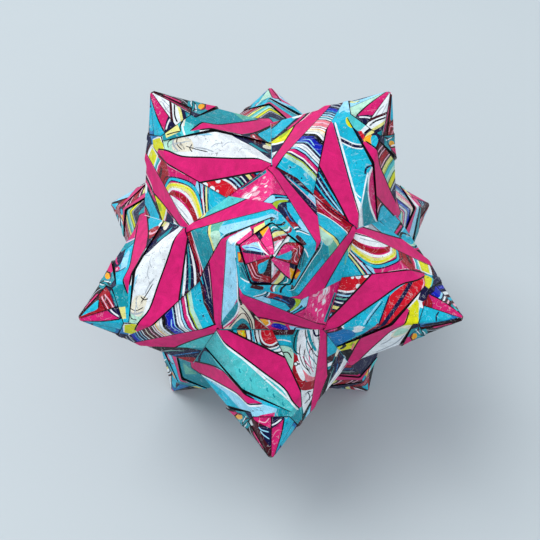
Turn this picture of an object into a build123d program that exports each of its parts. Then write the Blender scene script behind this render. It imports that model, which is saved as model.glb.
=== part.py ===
from build123d import *
from dataclasses import dataclass, replace
from itertools import combinations
from math import acos, atan2, cos, sin, sqrt
import os

# A star ball of folded paper: thirty equal sheets, each folded into one unit.
# Twelve five-sided spikes stand on the corners of an icosahedron, and twenty
# three-sided pits lie between them. Each unit bridges two neighbouring spikes:
# its middle fold lies in the valley between them, and at each end an arm wraps
# the next ridge of that spike and ends in a narrow band round the ridge after.
# The five arms of a spike overlap clockwise, seen from outside, so a face of a
# spike is up to three layers deep, and no sheet is glued to another.
# Frame: +Z up, millimetres, origin on the table under the middle of the ball,
# which stands on three spikes. One of the upper spikes leans towards -Y.

# Driving dimensions, in millimetres
tip_radius = 74.0        # ball's centre to the point where a spike's ridges meet
pit_radius = 46.9        # ball's centre to the bottom of a pit
paper = 0.2              # thickness of one layer
layer_gap = 0.1          # air between one layer and the next
tip_opening = 1.2        # the sheets end this far below a spike's point
pit_opening = 0.7        # the sheets end this far from the axis of a pit
seam_gap = 0.15          # air between two arms' slanted edges where they meet in a valley

# Levels of the layers on a face, from the face's plane outwards
level_pitch = paper + layer_gap
middle_level = 0.0
arm_level = level_pitch
band_level = 2 * level_pitch

# Angles of the icosahedron
ridge_turn = 72.0                         # degrees between the ridges of a spike
crown_turn = 120.0                        # degrees between the three upper spikes
spike_half_angle = acos(1 / sqrt(5)) / 2  # a valley's middle to a spike
pit_half_angle = acos(sqrt(5) / 3) / 2    # a valley's middle to a pit
crown_angle = acos(cos(spike_half_angle) * cos(pit_half_angle))  # a pit to a spike
neighbour_limit = 70.0                    # degrees, more than between neighbours

centre = Vector(0, 0, 0)


@dataclass(frozen=True)
class Flat:
    """A plane: the surface of a folded panel, or a cut that ends the sheet."""

    normal: Vector
    distance: float          # from the ball's centre, along the normal
    is_panel: bool = False

    def at(self, height):
        """A panel's plane at a height in its paper. A cut stays where it is."""
        if self.is_panel:
            return replace(self, distance=self.distance + height)
        return self

    def turned(self):
        """The same plane half a turn round Z, where the unit's other arm is."""
        return replace(self, normal=self.normal.rotate(Axis.Z, 180))


def meet(one, two, three):
    """The point where three planes meet."""
    across = two.normal.cross(three.normal)
    total = across * one.distance
    total += three.normal.cross(one.normal) * two.distance
    total += one.normal.cross(two.normal) * three.distance
    return total / one.normal.dot(across)


def plane_through(one, two, three, beyond, step=0.0, is_panel=False):
    """The plane through three points, with its normal towards the point beyond."""
    normal = (two - one).cross(three - one).normalized()
    if normal.dot(beyond - one) < 0:
        normal = -normal
    return Flat(normal, normal.dot(one) + step, is_panel)


def spike_face(tip, pit_one, pit_two, level, is_panel=False):
    """A face of a spike, raised by its level."""
    above = tip * 2
    return plane_through(tip, pit_one, pit_two, above, level, is_panel)


def pit_cut(pit, towards):
    """A cut across a ridge or valley beside a pit, parallel to the pit's axis."""
    outward = pit.normalized()
    level = towards - outward * towards.dot(outward)
    return Flat(level.normalized(), pit_opening)


class Arm:
    """The planes of one arm of a unit, with the unit's valley along Y at the top."""

    def __init__(self):
        across, up = sin(spike_half_angle), cos(spike_half_angle)
        tip = Vector(tip_radius * across, 0, tip_radius * up)
        facing_tip = Vector(-tip.X, 0, tip.Z)
        along, rise = sin(pit_half_angle), cos(pit_half_angle)
        pit = Vector(0, pit_radius * along, pit_radius * rise)
        spike_axis = Axis(centre, tip)
        before_last, last, own, after, after_next = [
            pit.rotate(spike_axis, ridge_turn * turns) for turns in (2, 1, 0, -1, -2)
        ]
        facing_next = facing_tip.rotate(spike_axis, -ridge_turn)

        self.middle = spike_face(tip, last, own, middle_level, True)
        self.arm = spike_face(tip, own, after, arm_level, True)
        self.band = spike_face(tip, after, after_next, band_level, True)

        outward = tip.normalized()
        self.tip_cut = Flat(outward, tip_radius - tip_opening)
        self.pit_side = pit_cut(own, tip)
        self.pit_end = pit_cut(own, last)
        self.hidden_edge = spike_face(tip, before_last, last, middle_level - layer_gap)
        self.valley_edge = spike_face(facing_next, own, after, arm_level)

        # The slanted edge starts halfway along the valley and crosses the next
        # ridge halfway up. Laid flat it is one straight line, parallel to the
        # arm's own ridge, so it reaches the ridge after that at this share. It is
        # set back so that it clears the edge of the arm across the valley, which
        # stands above the valley by its own level.
        ridge = own - tip
        face_angle_cos = ridge.dot(after - tip) / ridge.length ** 2
        band_share = 0.25 / face_angle_cos
        valley_middle = (own + after) / 2
        ridge_middle = (tip + after) / 2
        band_end = tip + (after_next - tip) * band_share
        set_back = arm_level + seam_gap
        self.seam = plane_through(valley_middle, ridge_middle, band_end, own, set_back)
        self.cap_edge = Flat(outward, outward.dot(band_end))
        self.cap_side = Flat(outward.cross(valley_middle).normalized(), 0.0)


def unit_panels():
    """Each panel's plane, with the planes of its sides in order round it."""
    one = Arm()
    two = Arm()
    for name, flat in vars(two).items():
        setattr(two, name, flat.turned())
    panels = []
    for this, other in ((one, two), (two, one)):
        panels.append((this.middle, [
            this.tip_cut, this.arm, this.pit_side, this.pit_end,
            other.middle, other.pit_end, this.hidden_edge,
        ]))
        panels.append((this.arm, [
            this.middle, this.tip_cut, this.cap_side, this.cap_edge,
            this.band, this.seam, this.valley_edge, this.pit_side,
        ]))
        panels.append((this.band, [this.arm, this.cap_edge, this.seam]))
    return panels


def corners(panel, sides, height):
    """The panel's corners at a height in its paper, one where each side starts."""
    raised = [side.at(height) for side in sides]
    return [meet(panel.at(height), raised[n - 1], raised[n]) for n in range(len(sides))]


def polygon(points):
    """A flat face with these corners."""
    return Face(Wire.make_polygon(points, close=True))


def folded_unit():
    """One sheet as folded: every panel, with a rim wherever the sheet ends."""
    faces = []
    for panel, sides in unit_panels():
        under = corners(panel, sides, 0.0)
        over = corners(panel, sides, paper)
        faces += [polygon(under), polygon(over)]
        for n, side in enumerate(sides):
            if not side.is_panel:
                end = (n + 1) % len(sides)
                faces.append(polygon([under[n], under[end], over[end], over[n]]))
    return Solid(Shell(faces))


def spike_directions():
    """The twelve directions of the spikes, three of them straight round the top."""
    front = Vector(0, -sin(crown_angle), cos(crown_angle))
    beside = front.rotate(Axis.Z, crown_turn)
    ring = [beside.rotate(Axis(centre, front), ridge_turn * n) for n in range(5)]
    upper = [front, *ring]
    return upper + [-direction for direction in upper]


def unit_places():
    """Where each unit sits, from the top down and then round from +X."""
    pairs = [
        (one, two) for one, two in combinations(spike_directions(), 2)
        if one.get_angle(two) < neighbour_limit
    ]

    def order(pair):
        middle = pair[0] + pair[1]
        bearing = atan2(middle.Y, middle.X)
        return -round(middle.Z, 3), round(bearing, 3)

    pairs.sort(key=order)
    return [Location(Plane(centre, one - two, one + two)) for one, two in pairs]


unit = folded_unit()
units = [place * unit for place in unit_places()]
lowest = min(placed.bounding_box().min.Z for placed in units)

os.makedirs("parts", exist_ok=True)
for number, placed in enumerate(units, start=1):
    export_step(Pos(0, 0, -lowest) * placed, f"parts/unit_{number:02}.step")
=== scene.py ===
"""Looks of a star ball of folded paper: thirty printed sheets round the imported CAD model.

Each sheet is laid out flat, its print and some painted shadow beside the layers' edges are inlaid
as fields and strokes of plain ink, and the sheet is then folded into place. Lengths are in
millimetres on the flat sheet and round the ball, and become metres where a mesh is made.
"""

import logging
import random
from dataclasses import dataclass, field
from enum import Enum
from math import acos, cos, hypot, pi, radians, sin, sqrt

import bpy
import numpy as np
from mathutils import Matrix, Vector, noise
from mathutils.geometry import delaunay_2d_cdt


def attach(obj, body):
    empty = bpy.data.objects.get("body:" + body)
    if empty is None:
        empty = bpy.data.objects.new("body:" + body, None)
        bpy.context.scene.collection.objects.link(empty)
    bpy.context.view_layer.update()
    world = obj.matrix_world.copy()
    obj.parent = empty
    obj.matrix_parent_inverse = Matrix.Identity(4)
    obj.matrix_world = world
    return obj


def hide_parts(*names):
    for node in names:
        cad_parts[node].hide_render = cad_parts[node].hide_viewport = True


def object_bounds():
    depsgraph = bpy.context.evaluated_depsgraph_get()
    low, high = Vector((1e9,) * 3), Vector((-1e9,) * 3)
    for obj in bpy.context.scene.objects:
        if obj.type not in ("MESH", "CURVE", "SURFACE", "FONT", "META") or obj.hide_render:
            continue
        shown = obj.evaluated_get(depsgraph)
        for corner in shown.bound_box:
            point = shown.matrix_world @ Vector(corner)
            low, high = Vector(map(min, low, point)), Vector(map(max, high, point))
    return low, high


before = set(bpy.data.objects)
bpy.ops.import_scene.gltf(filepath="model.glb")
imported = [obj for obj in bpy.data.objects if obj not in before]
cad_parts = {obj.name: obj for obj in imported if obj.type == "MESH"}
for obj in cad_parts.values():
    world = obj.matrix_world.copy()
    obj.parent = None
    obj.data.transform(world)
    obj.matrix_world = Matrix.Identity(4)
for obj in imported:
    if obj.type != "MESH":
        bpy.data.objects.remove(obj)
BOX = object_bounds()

MM = 0.001
MERGE = 1e-3            # flat places this near each other are one, in millimetres
BODY = "root"
LOG = logging.getLogger("paper_ball")

Point = tuple[float, float]
Colour = tuple[float, float, float, float]
Socket = bpy.types.NodeSocket


class Ink(Enum):
    """The inks of the sheets, as shares of red, green and blue on a screen."""

    CRIMSON = (0.82, 0.12, 0.43)
    ROSE = (0.90, 0.20, 0.50)
    DEEP_RED = (0.62, 0.02, 0.13)
    SCARLET = (0.80, 0.02, 0.15)
    MAROON = (0.26, 0.01, 0.10)
    PALE_PINK = (0.93, 0.70, 0.78)
    SALMON = (0.90, 0.47, 0.53)
    CYAN = (0.08, 0.70, 0.82)
    TEAL = (0.05, 0.56, 0.62)
    AQUA = (0.30, 0.76, 0.78)
    SKY = (0.58, 0.83, 0.94)
    SEA_GREEN = (0.36, 0.70, 0.62)
    PALE_GREEN = (0.68, 0.86, 0.78)
    NAVY = (0.03, 0.03, 0.24)
    ROYAL = (0.03, 0.12, 0.68)
    BLUE = (0.02, 0.46, 0.72)
    LEMON = (0.86, 0.86, 0.05)
    STRAW = (0.88, 0.87, 0.52)
    LIME = (0.62, 0.74, 0.12)
    AMBER = (0.95, 0.66, 0.08)
    BLACK = (0.02, 0.01, 0.05)
    WHITE = (0.90, 0.93, 0.95)
    CREAM = (0.90, 0.88, 0.80)
    GREY = (0.66, 0.70, 0.74)

    @property
    def linear(self) -> tuple[float, float, float, float]:
        """The ink as scene-linear colour, with alpha."""
        return (*[share**2.2 for share in self.value], 1.0)


@dataclass(frozen=True)
class Mark:
    """One patch of ink on the flat sheet.

    A field is a closed outline. A stroke is a path with a width. Plain ink has no
    marbling in it.
    """

    ink: Ink
    points: tuple[Point, ...]
    width: float = 0.0
    curved: bool = True
    plain: bool = False

    def outline(self) -> np.ndarray:
        """Work out the closed edge of the patch.

        Returns:
            The edge's points in order, as an array of two columns.
        """
        line = np.array(self.points, float)
        if self.curved and len(line) > 2:
            line = smooth_line(line, closed=not self.width)
        if not self.width:
            return line
        along = np.gradient(line, axis=0)
        along /= np.linalg.norm(along, axis=1)[:, None] + 1e-9
        aside = np.stack([-along[:, 1], along[:, 0]], axis=1)
        taper = np.full(len(line), self.width / 2)
        taper[[0, -1]] *= STROKE_END
        aside *= taper[:, None]
        return np.concatenate([line + aside, (line - aside)[::-1]])


STROKE_END = 0.4        # a stroke's width at its ends, as a share of its full width
CURVE_STEPS = 4         # straight runs between two points of a curved line


def smooth_line(points: np.ndarray, closed: bool) -> np.ndarray:
    """Draw a smooth line through points.

    Args:
        points: the points that it passes through, two columns.
        closed: whether the line comes back to its start.

    Returns:
        The points of the smooth line.
    """
    count = len(points)
    runs = count if closed else count - 1
    steps = np.arange(CURVE_STEPS)[:, None] / CURVE_STEPS
    pieces = []
    for n in range(runs):
        if closed:
            a, b, c, d = (points[(n + k) % count] for k in (-1, 0, 1, 2))
        else:
            a, b, c, d = (points[min(max(n + k, 0), count - 1)] for k in (-1, 0, 1, 2))
        bend = 2 * a - 5 * b + 4 * c - d
        turn = -a + 3 * b - 3 * c + d
        pieces.append(b + 0.5 * ((c - a) * steps + bend * steps**2 + turn * steps**3))
    if not closed:
        pieces.append(points[-1:])
    return np.concatenate(pieces)


def patch(ink: Ink, *points: Point) -> Mark:
    """A field of ink with a curved edge."""
    return Mark(ink, points)


def block(ink: Ink, *points: Point) -> Mark:
    """A field of ink with straight sides."""
    return Mark(ink, points, curved=False)


def stroke(ink: Ink, width: float, *points: Point) -> Mark:
    """A curved stroke of ink."""
    return Mark(ink, points, width)


def ground(ink: Ink) -> Mark:
    """The ink under a whole arm."""
    return block(ink, (-31, -1), (18, -1), (18, 44), (-31, 50))


def cap_ground(ink: Ink) -> Mark:
    """The ink under an arm's small cap, next to the spike's point."""
    return block(ink, (-12, 28), (0.6, 28), (0.6, 44), (-12, 44))


def dot(ink: Ink, x: float, y: float, radius: float) -> Mark:
    """A round spot of ink."""
    rim = [(x + radius * cos(t), y + radius * sin(t)) for t in np.arange(7) * 2 * pi / 7]
    return Mark(ink, tuple(rim))


def bands(inks: list[tuple[Ink, float]], left: list[Point], right: list[Point]) -> list[Mark]:
    """Lay bands of ink one above another between a left side and a right side.

    Args:
        inks: each band's ink and the share of the sides where it ends.
        left: the left side's points, from the bottom up.
        right: the right side's points, from the bottom up.

    Returns:
        The bands, each with a slightly bowed edge.
    """
    def at(side: list[Point], share: float) -> np.ndarray:
        """Find the place at a share of a side's length.

        Args:
            side: the side's points.
            share: the share, from 0 to 1.

        Returns:
            The place.
        """
        points = np.array(side, float)
        lengths = np.concatenate([[0], np.cumsum(np.linalg.norm(np.diff(points, axis=0), axis=1))])
        return np.array([np.interp(share * lengths[-1], lengths, points[:, k]) for k in (0, 1)])

    marks = []
    start = 0.0
    for ink, end in inks:
        low_left, low_right = at(left, start), at(right, start)
        high_left, high_right = at(left, end), at(right, end)
        bow = np.array([0.0, 0.07 * np.linalg.norm(low_right - low_left)])
        low_middle = (low_left + low_right) / 2 + bow
        high_middle = (high_left + high_right) / 2 + bow
        corners = [low_left, low_middle, low_right, high_right, high_middle, high_left]
        marks.append(Mark(ink, tuple(map(tuple, corners)), curved=False))
        start = end
    return marks


@dataclass(frozen=True)
class SheetShape:
    """Sizes of one sheet and of how it is folded.

    Flat places are those of one arm: the valley fold is the line y = 0, the spike's
    point is straight above its middle, and the arm's ridges run down to the left.
    """

    tip_radius: float = 74.0
    pit_radius: float = 46.9
    ridge_turn: float = 72.0
    thickness: float = 0.26
    levels: tuple[float, float, float] = (0.22, 0.66, 1.08)
    tip_pinch: float = 0.35
    fold_radius: float = 0.7
    grid_step: float = 3.4
    right_end: Point = (15.75, 0.0)
    edge: tuple[Point, ...] = (
        (-0.05, 41.7), (-0.6, 41.75), (-1.15, 42.0), (-9.8, 32.5), (-14.0, 36.3),
        (-15.2, 47.4), (-16.9, 47.9), (-28.9, 11.5), (-16.3, 0.6), (-15.75, 0.0),
    )

    @property
    def spike_half_angle(self) -> float:
        """Half the angle between two neighbouring spikes."""
        return acos(1 / sqrt(5)) / 2

    @property
    def pit_half_angle(self) -> float:
        """The angle at the centre between a valley's middle and a pit."""
        return acos(sqrt(5) / 3) / 2

    @property
    def slanted_edge(self) -> tuple[np.ndarray, np.ndarray]:
        """The ends of the arm's slanted edge, from the pit up."""
        return np.array(self.edge[7]), np.array(self.edge[6])

    def outline(self) -> np.ndarray:
        """The whole sheet's edge, both arms, as flat points in order."""
        half = np.array([self.right_end, *self.edge])[:-1]
        return np.concatenate([half, -half])


class Folding:
    """Carries flat places of a sheet to their places on the folded unit.

    The unit stands with its valley along Y at the top and its first spike to +X.
    """

    def __init__(self, shape: SheetShape) -> None:
        """Work out the fold's corners and how far each layer stands out.

        Args:
            shape: the sheet's sizes.
        """
        self.shape = shape
        across, up = sin(shape.spike_half_angle), cos(shape.spike_half_angle)
        self.tip = np.array([across, 0.0, up]) * shape.tip_radius
        along, rise = sin(shape.pit_half_angle), cos(shape.pit_half_angle)
        pit = Vector((0.0, along, rise)) * shape.pit_radius
        self.pits = []
        for turns in (1, 0, -1, -2):
            turn = Matrix.Rotation(radians(shape.ridge_turn * turns), 3, Vector(self.tip))
            self.pits.append(np.array(turn @ pit))
        ridge = np.linalg.norm(self.pits[0] - self.tip)
        base = np.linalg.norm(self.pits[0] - self.pits[1]) / 2
        height = sqrt(ridge**2 - base**2)
        self.flat_tip = np.array([0.0, height])
        self.face_angle = 2 * acos(height / ridge)
        down = np.array([base, -height])
        self.flat_pits = []
        for step in range(4):
            c, s = cos(-self.face_angle * step), sin(-self.face_angle * step)
            self.flat_pits.append(self.flat_tip + np.array([[c, -s], [s, c]]) @ down)
        self.normals = [self._normal(self.tip, *self.pits[k:k + 2]) for k in range(3)]
        half_turn = np.array([-1.0, -1.0, 1.0])
        facing = self.normals[0] * half_turn
        beside = self.normals[1] * half_turn
        self.stand = self._offsets(shape.levels, facing, beside)
        self.stand[0] *= shape.tip_pinch
        self.outward = self._offsets((1.0, 1.0, 1.0), facing, beside)
        self.creases = [
            (self.flat_tip, self.flat_pits[1], self.normals[0], self.normals[1]),
            (self.flat_tip, self.flat_pits[2], self.normals[1], self.normals[2]),
        ]
        self.facing = facing

    @staticmethod
    def _normal(one: np.ndarray, two: np.ndarray, three: np.ndarray) -> np.ndarray:
        """The outward unit normal of a face through three points.

        Args:
            one: the first point.
            two: the second point.
            three: the third point.

        Returns:
            The normal.
        """
        normal = np.cross(two - one, three - one)
        normal /= np.linalg.norm(normal)
        return normal if normal @ one > 0 else -normal

    def _offsets(self, heights: tuple[float, float, float],
                 facing: np.ndarray, beside: np.ndarray) -> list[np.ndarray]:
        """How far the tip and the four pits move when each panel is raised.

        Args:
            heights: how far the middle, the arm and the band are raised.
            facing: the normal of the face across the valley.
            beside: the normal of the facing arm's panel, next to the first pit.

        Returns:
            The moves of the tip and of the pits, from the hidden edge on.
        """
        middle, arm, band = self.normals
        low, mid, high = heights
        cases = [
            ((middle, arm, band), (low, mid, high)),
            ((middle, facing, beside), (low, low, mid)),
            ((middle, facing, arm), (low, low, mid)),
            ((arm, band), (mid, high)),
            ((band,), (high,)),
        ]
        return [np.linalg.lstsq(np.array(rows), np.array(want), rcond=None)[0]
                for rows, want in cases]

    def _panel_of(self, flat: np.ndarray) -> np.ndarray:
        """Which panel each flat place is on.

        Args:
            flat: the flat places, two columns.

        Returns:
            0 for the middle, 1 for the arm and 2 for the band.
        """
        panel = np.zeros(len(flat), int)
        for crease in (1, 2):
            along = self.flat_pits[crease] - self.flat_tip
            away = flat - self.flat_tip
            panel += (along[0] * away[:, 1] - along[1] * away[:, 0]) < -1e-5
        return panel

    def place(self, flat: np.ndarray, extra: np.ndarray) -> np.ndarray:
        """Fold one arm's flat places into space.

        Args:
            flat: the flat places, two columns.
            extra: how far each place is lifted off its panel.

        Returns:
            The places in space, three columns.
        """
        panel = self._panel_of(flat)
        placed = np.zeros((len(flat), 3))
        for k in range(3):
            on = panel == k
            ends = np.array([self.flat_pits[k] - self.flat_tip, self.flat_pits[k + 1] - self.flat_tip])
            shares = (flat[on] - self.flat_tip) @ np.linalg.inv(ends)
            weights = np.column_stack([1 - shares.sum(1), shares])
            corners = np.array([self.tip, self.pits[k], self.pits[k + 1]])
            stand = np.array([self.stand[0], self.stand[k + 1], self.stand[k + 2]])
            out = np.array([self.outward[0], self.outward[k + 1], self.outward[k + 2]])
            placed[on] = weights @ (corners + stand) + (weights @ out) * extra[on][:, None]
        for start, end, one, two in self.creases:
            along = (end - start) / np.linalg.norm(end - start)
            away = flat - start
            distance = np.abs(along[0] * away[:, 1] - along[1] * away[:, 0])
            placed -= self._round(distance, one, two)
        placed += self._round(np.abs(flat[:, 1]), self.normals[0], self.facing)
        return placed

    def _round(self, distance: np.ndarray, one: np.ndarray, two: np.ndarray) -> np.ndarray:
        """How far a crease's rounding moves places at a distance from it.

        Args:
            distance: how far each place is from the crease.
            one: the normal on one side of it.
            two: the normal on the other side.

        Returns:
            The moves, three columns.
        """
        radius = self.shape.fold_radius
        between = (one + two) / np.linalg.norm(one + two)
        slope = sqrt(max(0.0, 1 - (between @ one) ** 2))
        near = np.clip(radius - distance, 0, None)
        return between * (slope * near**2 / (2 * radius))[:, None]


def inside(points: np.ndarray, outline: np.ndarray) -> np.ndarray:
    """Which points lie inside a closed outline, by its winding round them.

    Args:
        points: the points, two columns.
        outline: the outline's points in order.

    Returns:
        One truth value for each point.
    """
    winding = np.zeros(len(points), int)
    x, y = points[:, 0], points[:, 1]
    for (ax, ay), (bx, by) in zip(outline, np.roll(outline, -1, axis=0)):
        side = (bx - ax) * (y - ay) - (x - ax) * (by - ay)
        winding += (ay <= y) & (by > y) & (side > 0)
        winding -= (ay > y) & (by <= y) & (side < 0)
    return winding != 0


class Spike(Enum):
    """The twelve spikes, by bearing in degrees and height as a share of their radius."""

    TOP_FRONT = (-90.0, 0.7947)
    TOP_RIGHT = (30.0, 0.7947)
    TOP_LEFT = (150.0, 0.7947)
    SIDE_RIGHT = (-30.0, 0.1876)
    SIDE_BACK = (90.0, 0.1876)
    SIDE_LEFT = (-150.0, 0.1876)
    WAIST_FRONT = (-90.0, -0.1876)
    WAIST_RIGHT = (30.0, -0.1876)
    WAIST_LEFT = (150.0, -0.1876)
    FOOT_BACK = (90.0, -0.7947)
    FOOT_LEFT = (-150.0, -0.7947)
    FOOT_RIGHT = (-30.0, -0.7947)

    @property
    def direction(self) -> Vector:
        """The direction from the ball's centre.

        Returns:
            A vector of length one.
        """
        bearing, height = self.value
        reach = sqrt(1 - height**2)
        return Vector((reach * cos(radians(bearing)), reach * sin(radians(bearing)), height))


WEDGE_RIGHT = ((-14.9, -0.4), (-15.2, 4.5), (-16.6, 12.0), (-17.9, 20.0), (-19.2, 28.0))
WEDGE_LEFT = ((-26.6, 22.0), (-25.5, 19.8), (-24.3, 17.0), (-20.4, 7.5), (-17.4, -0.4))
STRIPE_LEFT = [(-14.8, 0.0), (-15.1, 5.0), (-16.6, 12.0), (-18.0, 20.0), (-19.3, 28.0), (-20.4, 36.0)]
STRIPE_RIGHT = [(-0.2, 0.0), (-3.6, 7.4), (-7.6, 16.0), (-9.4, 21.0), (-12.6, 28.0), (-14.6, 35.0)]


def wedge(ink: Ink, tall: bool = False, narrow: bool = False, rimmed: bool = False) -> list[Mark]:
    """The plain wedge that runs up every arm, with its dark and white outlines.

    Args:
        ink: the wedge's ink.
        tall: whether it runs on over the band.
        narrow: whether it stays clear of the slanted edge.
        rimmed: whether it has a white line along its right side.

    Returns:
        The marks, in the order they are printed.
    """
    top = ((-18.3, 33.5), (-18.9, 38.8)) if tall or narrow else ((-20.3, 34.3),)
    right = WEDGE_RIGHT + top
    left = WEDGE_LEFT
    if narrow:
        left = ((-19.8, 36.2), (-22.2, 30.6), (-24.4, 21.6), (-22.8, 14.4)) + WEDGE_LEFT[3:]
    outer = left if narrow else ((-22.4, 40.0), (-28.6, 22.0)) + left[1:]
    line = 0.5 if tall or narrow else 0.35
    rim = [Mark(Ink.WHITE, tuple((x + 0.8, y) for x, y in right), 0.6, plain=True)] if rimmed else []
    return [
        Mark(ink, (*right, *outer), curved=False, plain=True),
        *rim,
        Mark(Ink.BLACK, tuple((x + 0.2, y) for x, y in right), line, plain=True),
        Mark(Ink.BLACK, tuple((x - 0.2, y - 0.1) for x, y in left), 0.6, plain=True),
    ]


# Cyan panels over a dark red base
FAN_PANEL = (
    ground(Ink.CYAN),
    patch(Ink.DEEP_RED, (-15.4, -0.6), (0.2, -0.6), (-2.4, 7.0), (-5.5, 5.6), (-9, 4.9), (-12, 5.0),
          (-15.3, 5.8)),
    stroke(Ink.PALE_PINK, 0.55, (-11, 1.9), (-7.5, 2.2), (-4.2, 1.7), (-1.2, 0.2)),
    stroke(Ink.ROSE, 0.4, (-13.6, 3.3), (-9, 3.7), (-4.4, 3.3), (-2, 2)),
    stroke(Ink.MAROON, 0.4, (-13.6, 1.0), (-9, 1.0), (-4.4, 0.6)),
    stroke(Ink.WHITE, 0.5, (-15.2, 5.7), (-12, 5.0), (-8.4, 4.9), (-5.2, 5.6), (-2.3, 7.2)),
    # Painted shade: the black line beside the wedge's lower right side
    stroke(Ink.BLACK, 0.8, (-16.6, 10.8), (-15.8, 8.4), (-15.3, 6.2)),
    block(Ink.SEA_GREEN, (-17.2, 11.4), (-12.2, 13.2), (-12.8, 16.4), (-18.4, 16.0)),
    patch(Ink.PALE_GREEN, (-12.3, 13.2), (-5.6, 13.2), (-7.4, 17.2), (-9.4, 18.9), (-12.8, 16.4)),
    stroke(Ink.STRAW, 1.0, (-17, 10.9), (-14.6, 11.6), (-12, 13.0), (-9, 13.2), (-5.4, 13.0)),
    stroke(Ink.BLACK, 0.4, (-16.6, 10.2), (-14.4, 10.9), (-12, 12.3), (-9, 12.4), (-5.2, 12.3)),
    block(Ink.TEAL, (-18.4, 16.2), (-12.8, 16.6), (-10.7, 19), (-12.2, 25), (-14.2, 30), (-16.8, 36),
          (-20.6, 35)),
    block(Ink.CYAN, (-18.2, 18.5), (-15.2, 19.6), (-16.4, 29), (-17.6, 34.6), (-19.6, 33)),
    # Painted shadow: the black band along the next arm's edge; the white line beside it is that arm's paper
    # edge
    block(Ink.BLACK, (-16.4, 36), (-13.8, 30), (-11.8, 25), (-10.4, 20), (-8.4, 20), (-10.2, 25),
          (-13, 31), (-14.6, 36)),
    stroke(Ink.BLACK, 0.7, (-16.6, 36.2), (-14.0, 30), (-12.0, 25), (-10.6, 20.2)),
    stroke(Ink.WHITE, 0.3, (-17.3, 36.4), (-14.7, 30), (-12.7, 25), (-11.2, 20.2), (-9.2, 18.9),
           (-7.2, 18.2)),
    stroke(Ink.SEA_GREEN, 0.9, (-18.2, 39.9), (-16.4, 40.2), (-14.2, 39.2)),
    stroke(Ink.DEEP_RED, 0.7, (-18.4, 41.2), (-16.4, 41.8), (-14.2, 41.2)),
    stroke(Ink.WHITE, 0.5, (-18.4, 40.7), (-16.4, 41.0), (-14.2, 40.3)),
    stroke(Ink.BLACK, 0.7, (-18.8, 38.8), (-16.4, 38.7), (-14.2, 37.6)),
    block(Ink.MAROON, (-17.6, 44), (-15.8, 44), (-14.4, 49), (-18, 49)),
    stroke(Ink.DEEP_RED, 1.0, (-21.4, 4.4), (-19.6, 3.6), (-17.6, 1.4)),
    stroke(Ink.STRAW, 0.9, (-22.4, 5.4), (-20.8, 5.6), (-18.8, 4.2)),
    stroke(Ink.SEA_GREEN, 1.0, (-25, 8.4), (-22.8, 7.6), (-20.4, 6.4)),
)


# The fan with paler panels, partly the print and partly painted light, and a low red foot
PALE_FAN = (
    *FAN_PANEL,
    block(Ink.SKY, (-20.8, 35), (-18.6, 16), (-12.8, 16.4), (-10.9, 19.6), (-12.6, 25), (-14.8, 30.6),
          (-17.4, 37)),
    block(Ink.CYAN, (-18.6, 16.4), (-15, 16.4), (-16.6, 30), (-18.4, 35.6), (-20.4, 35)),
    block(Ink.TEAL, (-15.4, 10.6), (-12, 12), (-5.4, 12.2), (-1.6, 2.6), (-8, 2.8), (-15, 2.8)),
    stroke(Ink.WHITE, 0.4, (-15, 2.8), (-8, 2.7), (-1.8, 2.6)),
    block(Ink.AQUA, (-26.6, 20.4), (-30, 11.2), (-24, 6), (-20, 6.4), (-24, 16)),
    # Painted shadow: the black band along the next arm's edge
    block(Ink.BLACK, (-9.6, 20), (-8.4, 22), (0.2, -0.4), (-1.6, 1.2), (-6, 11)),
)


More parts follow.
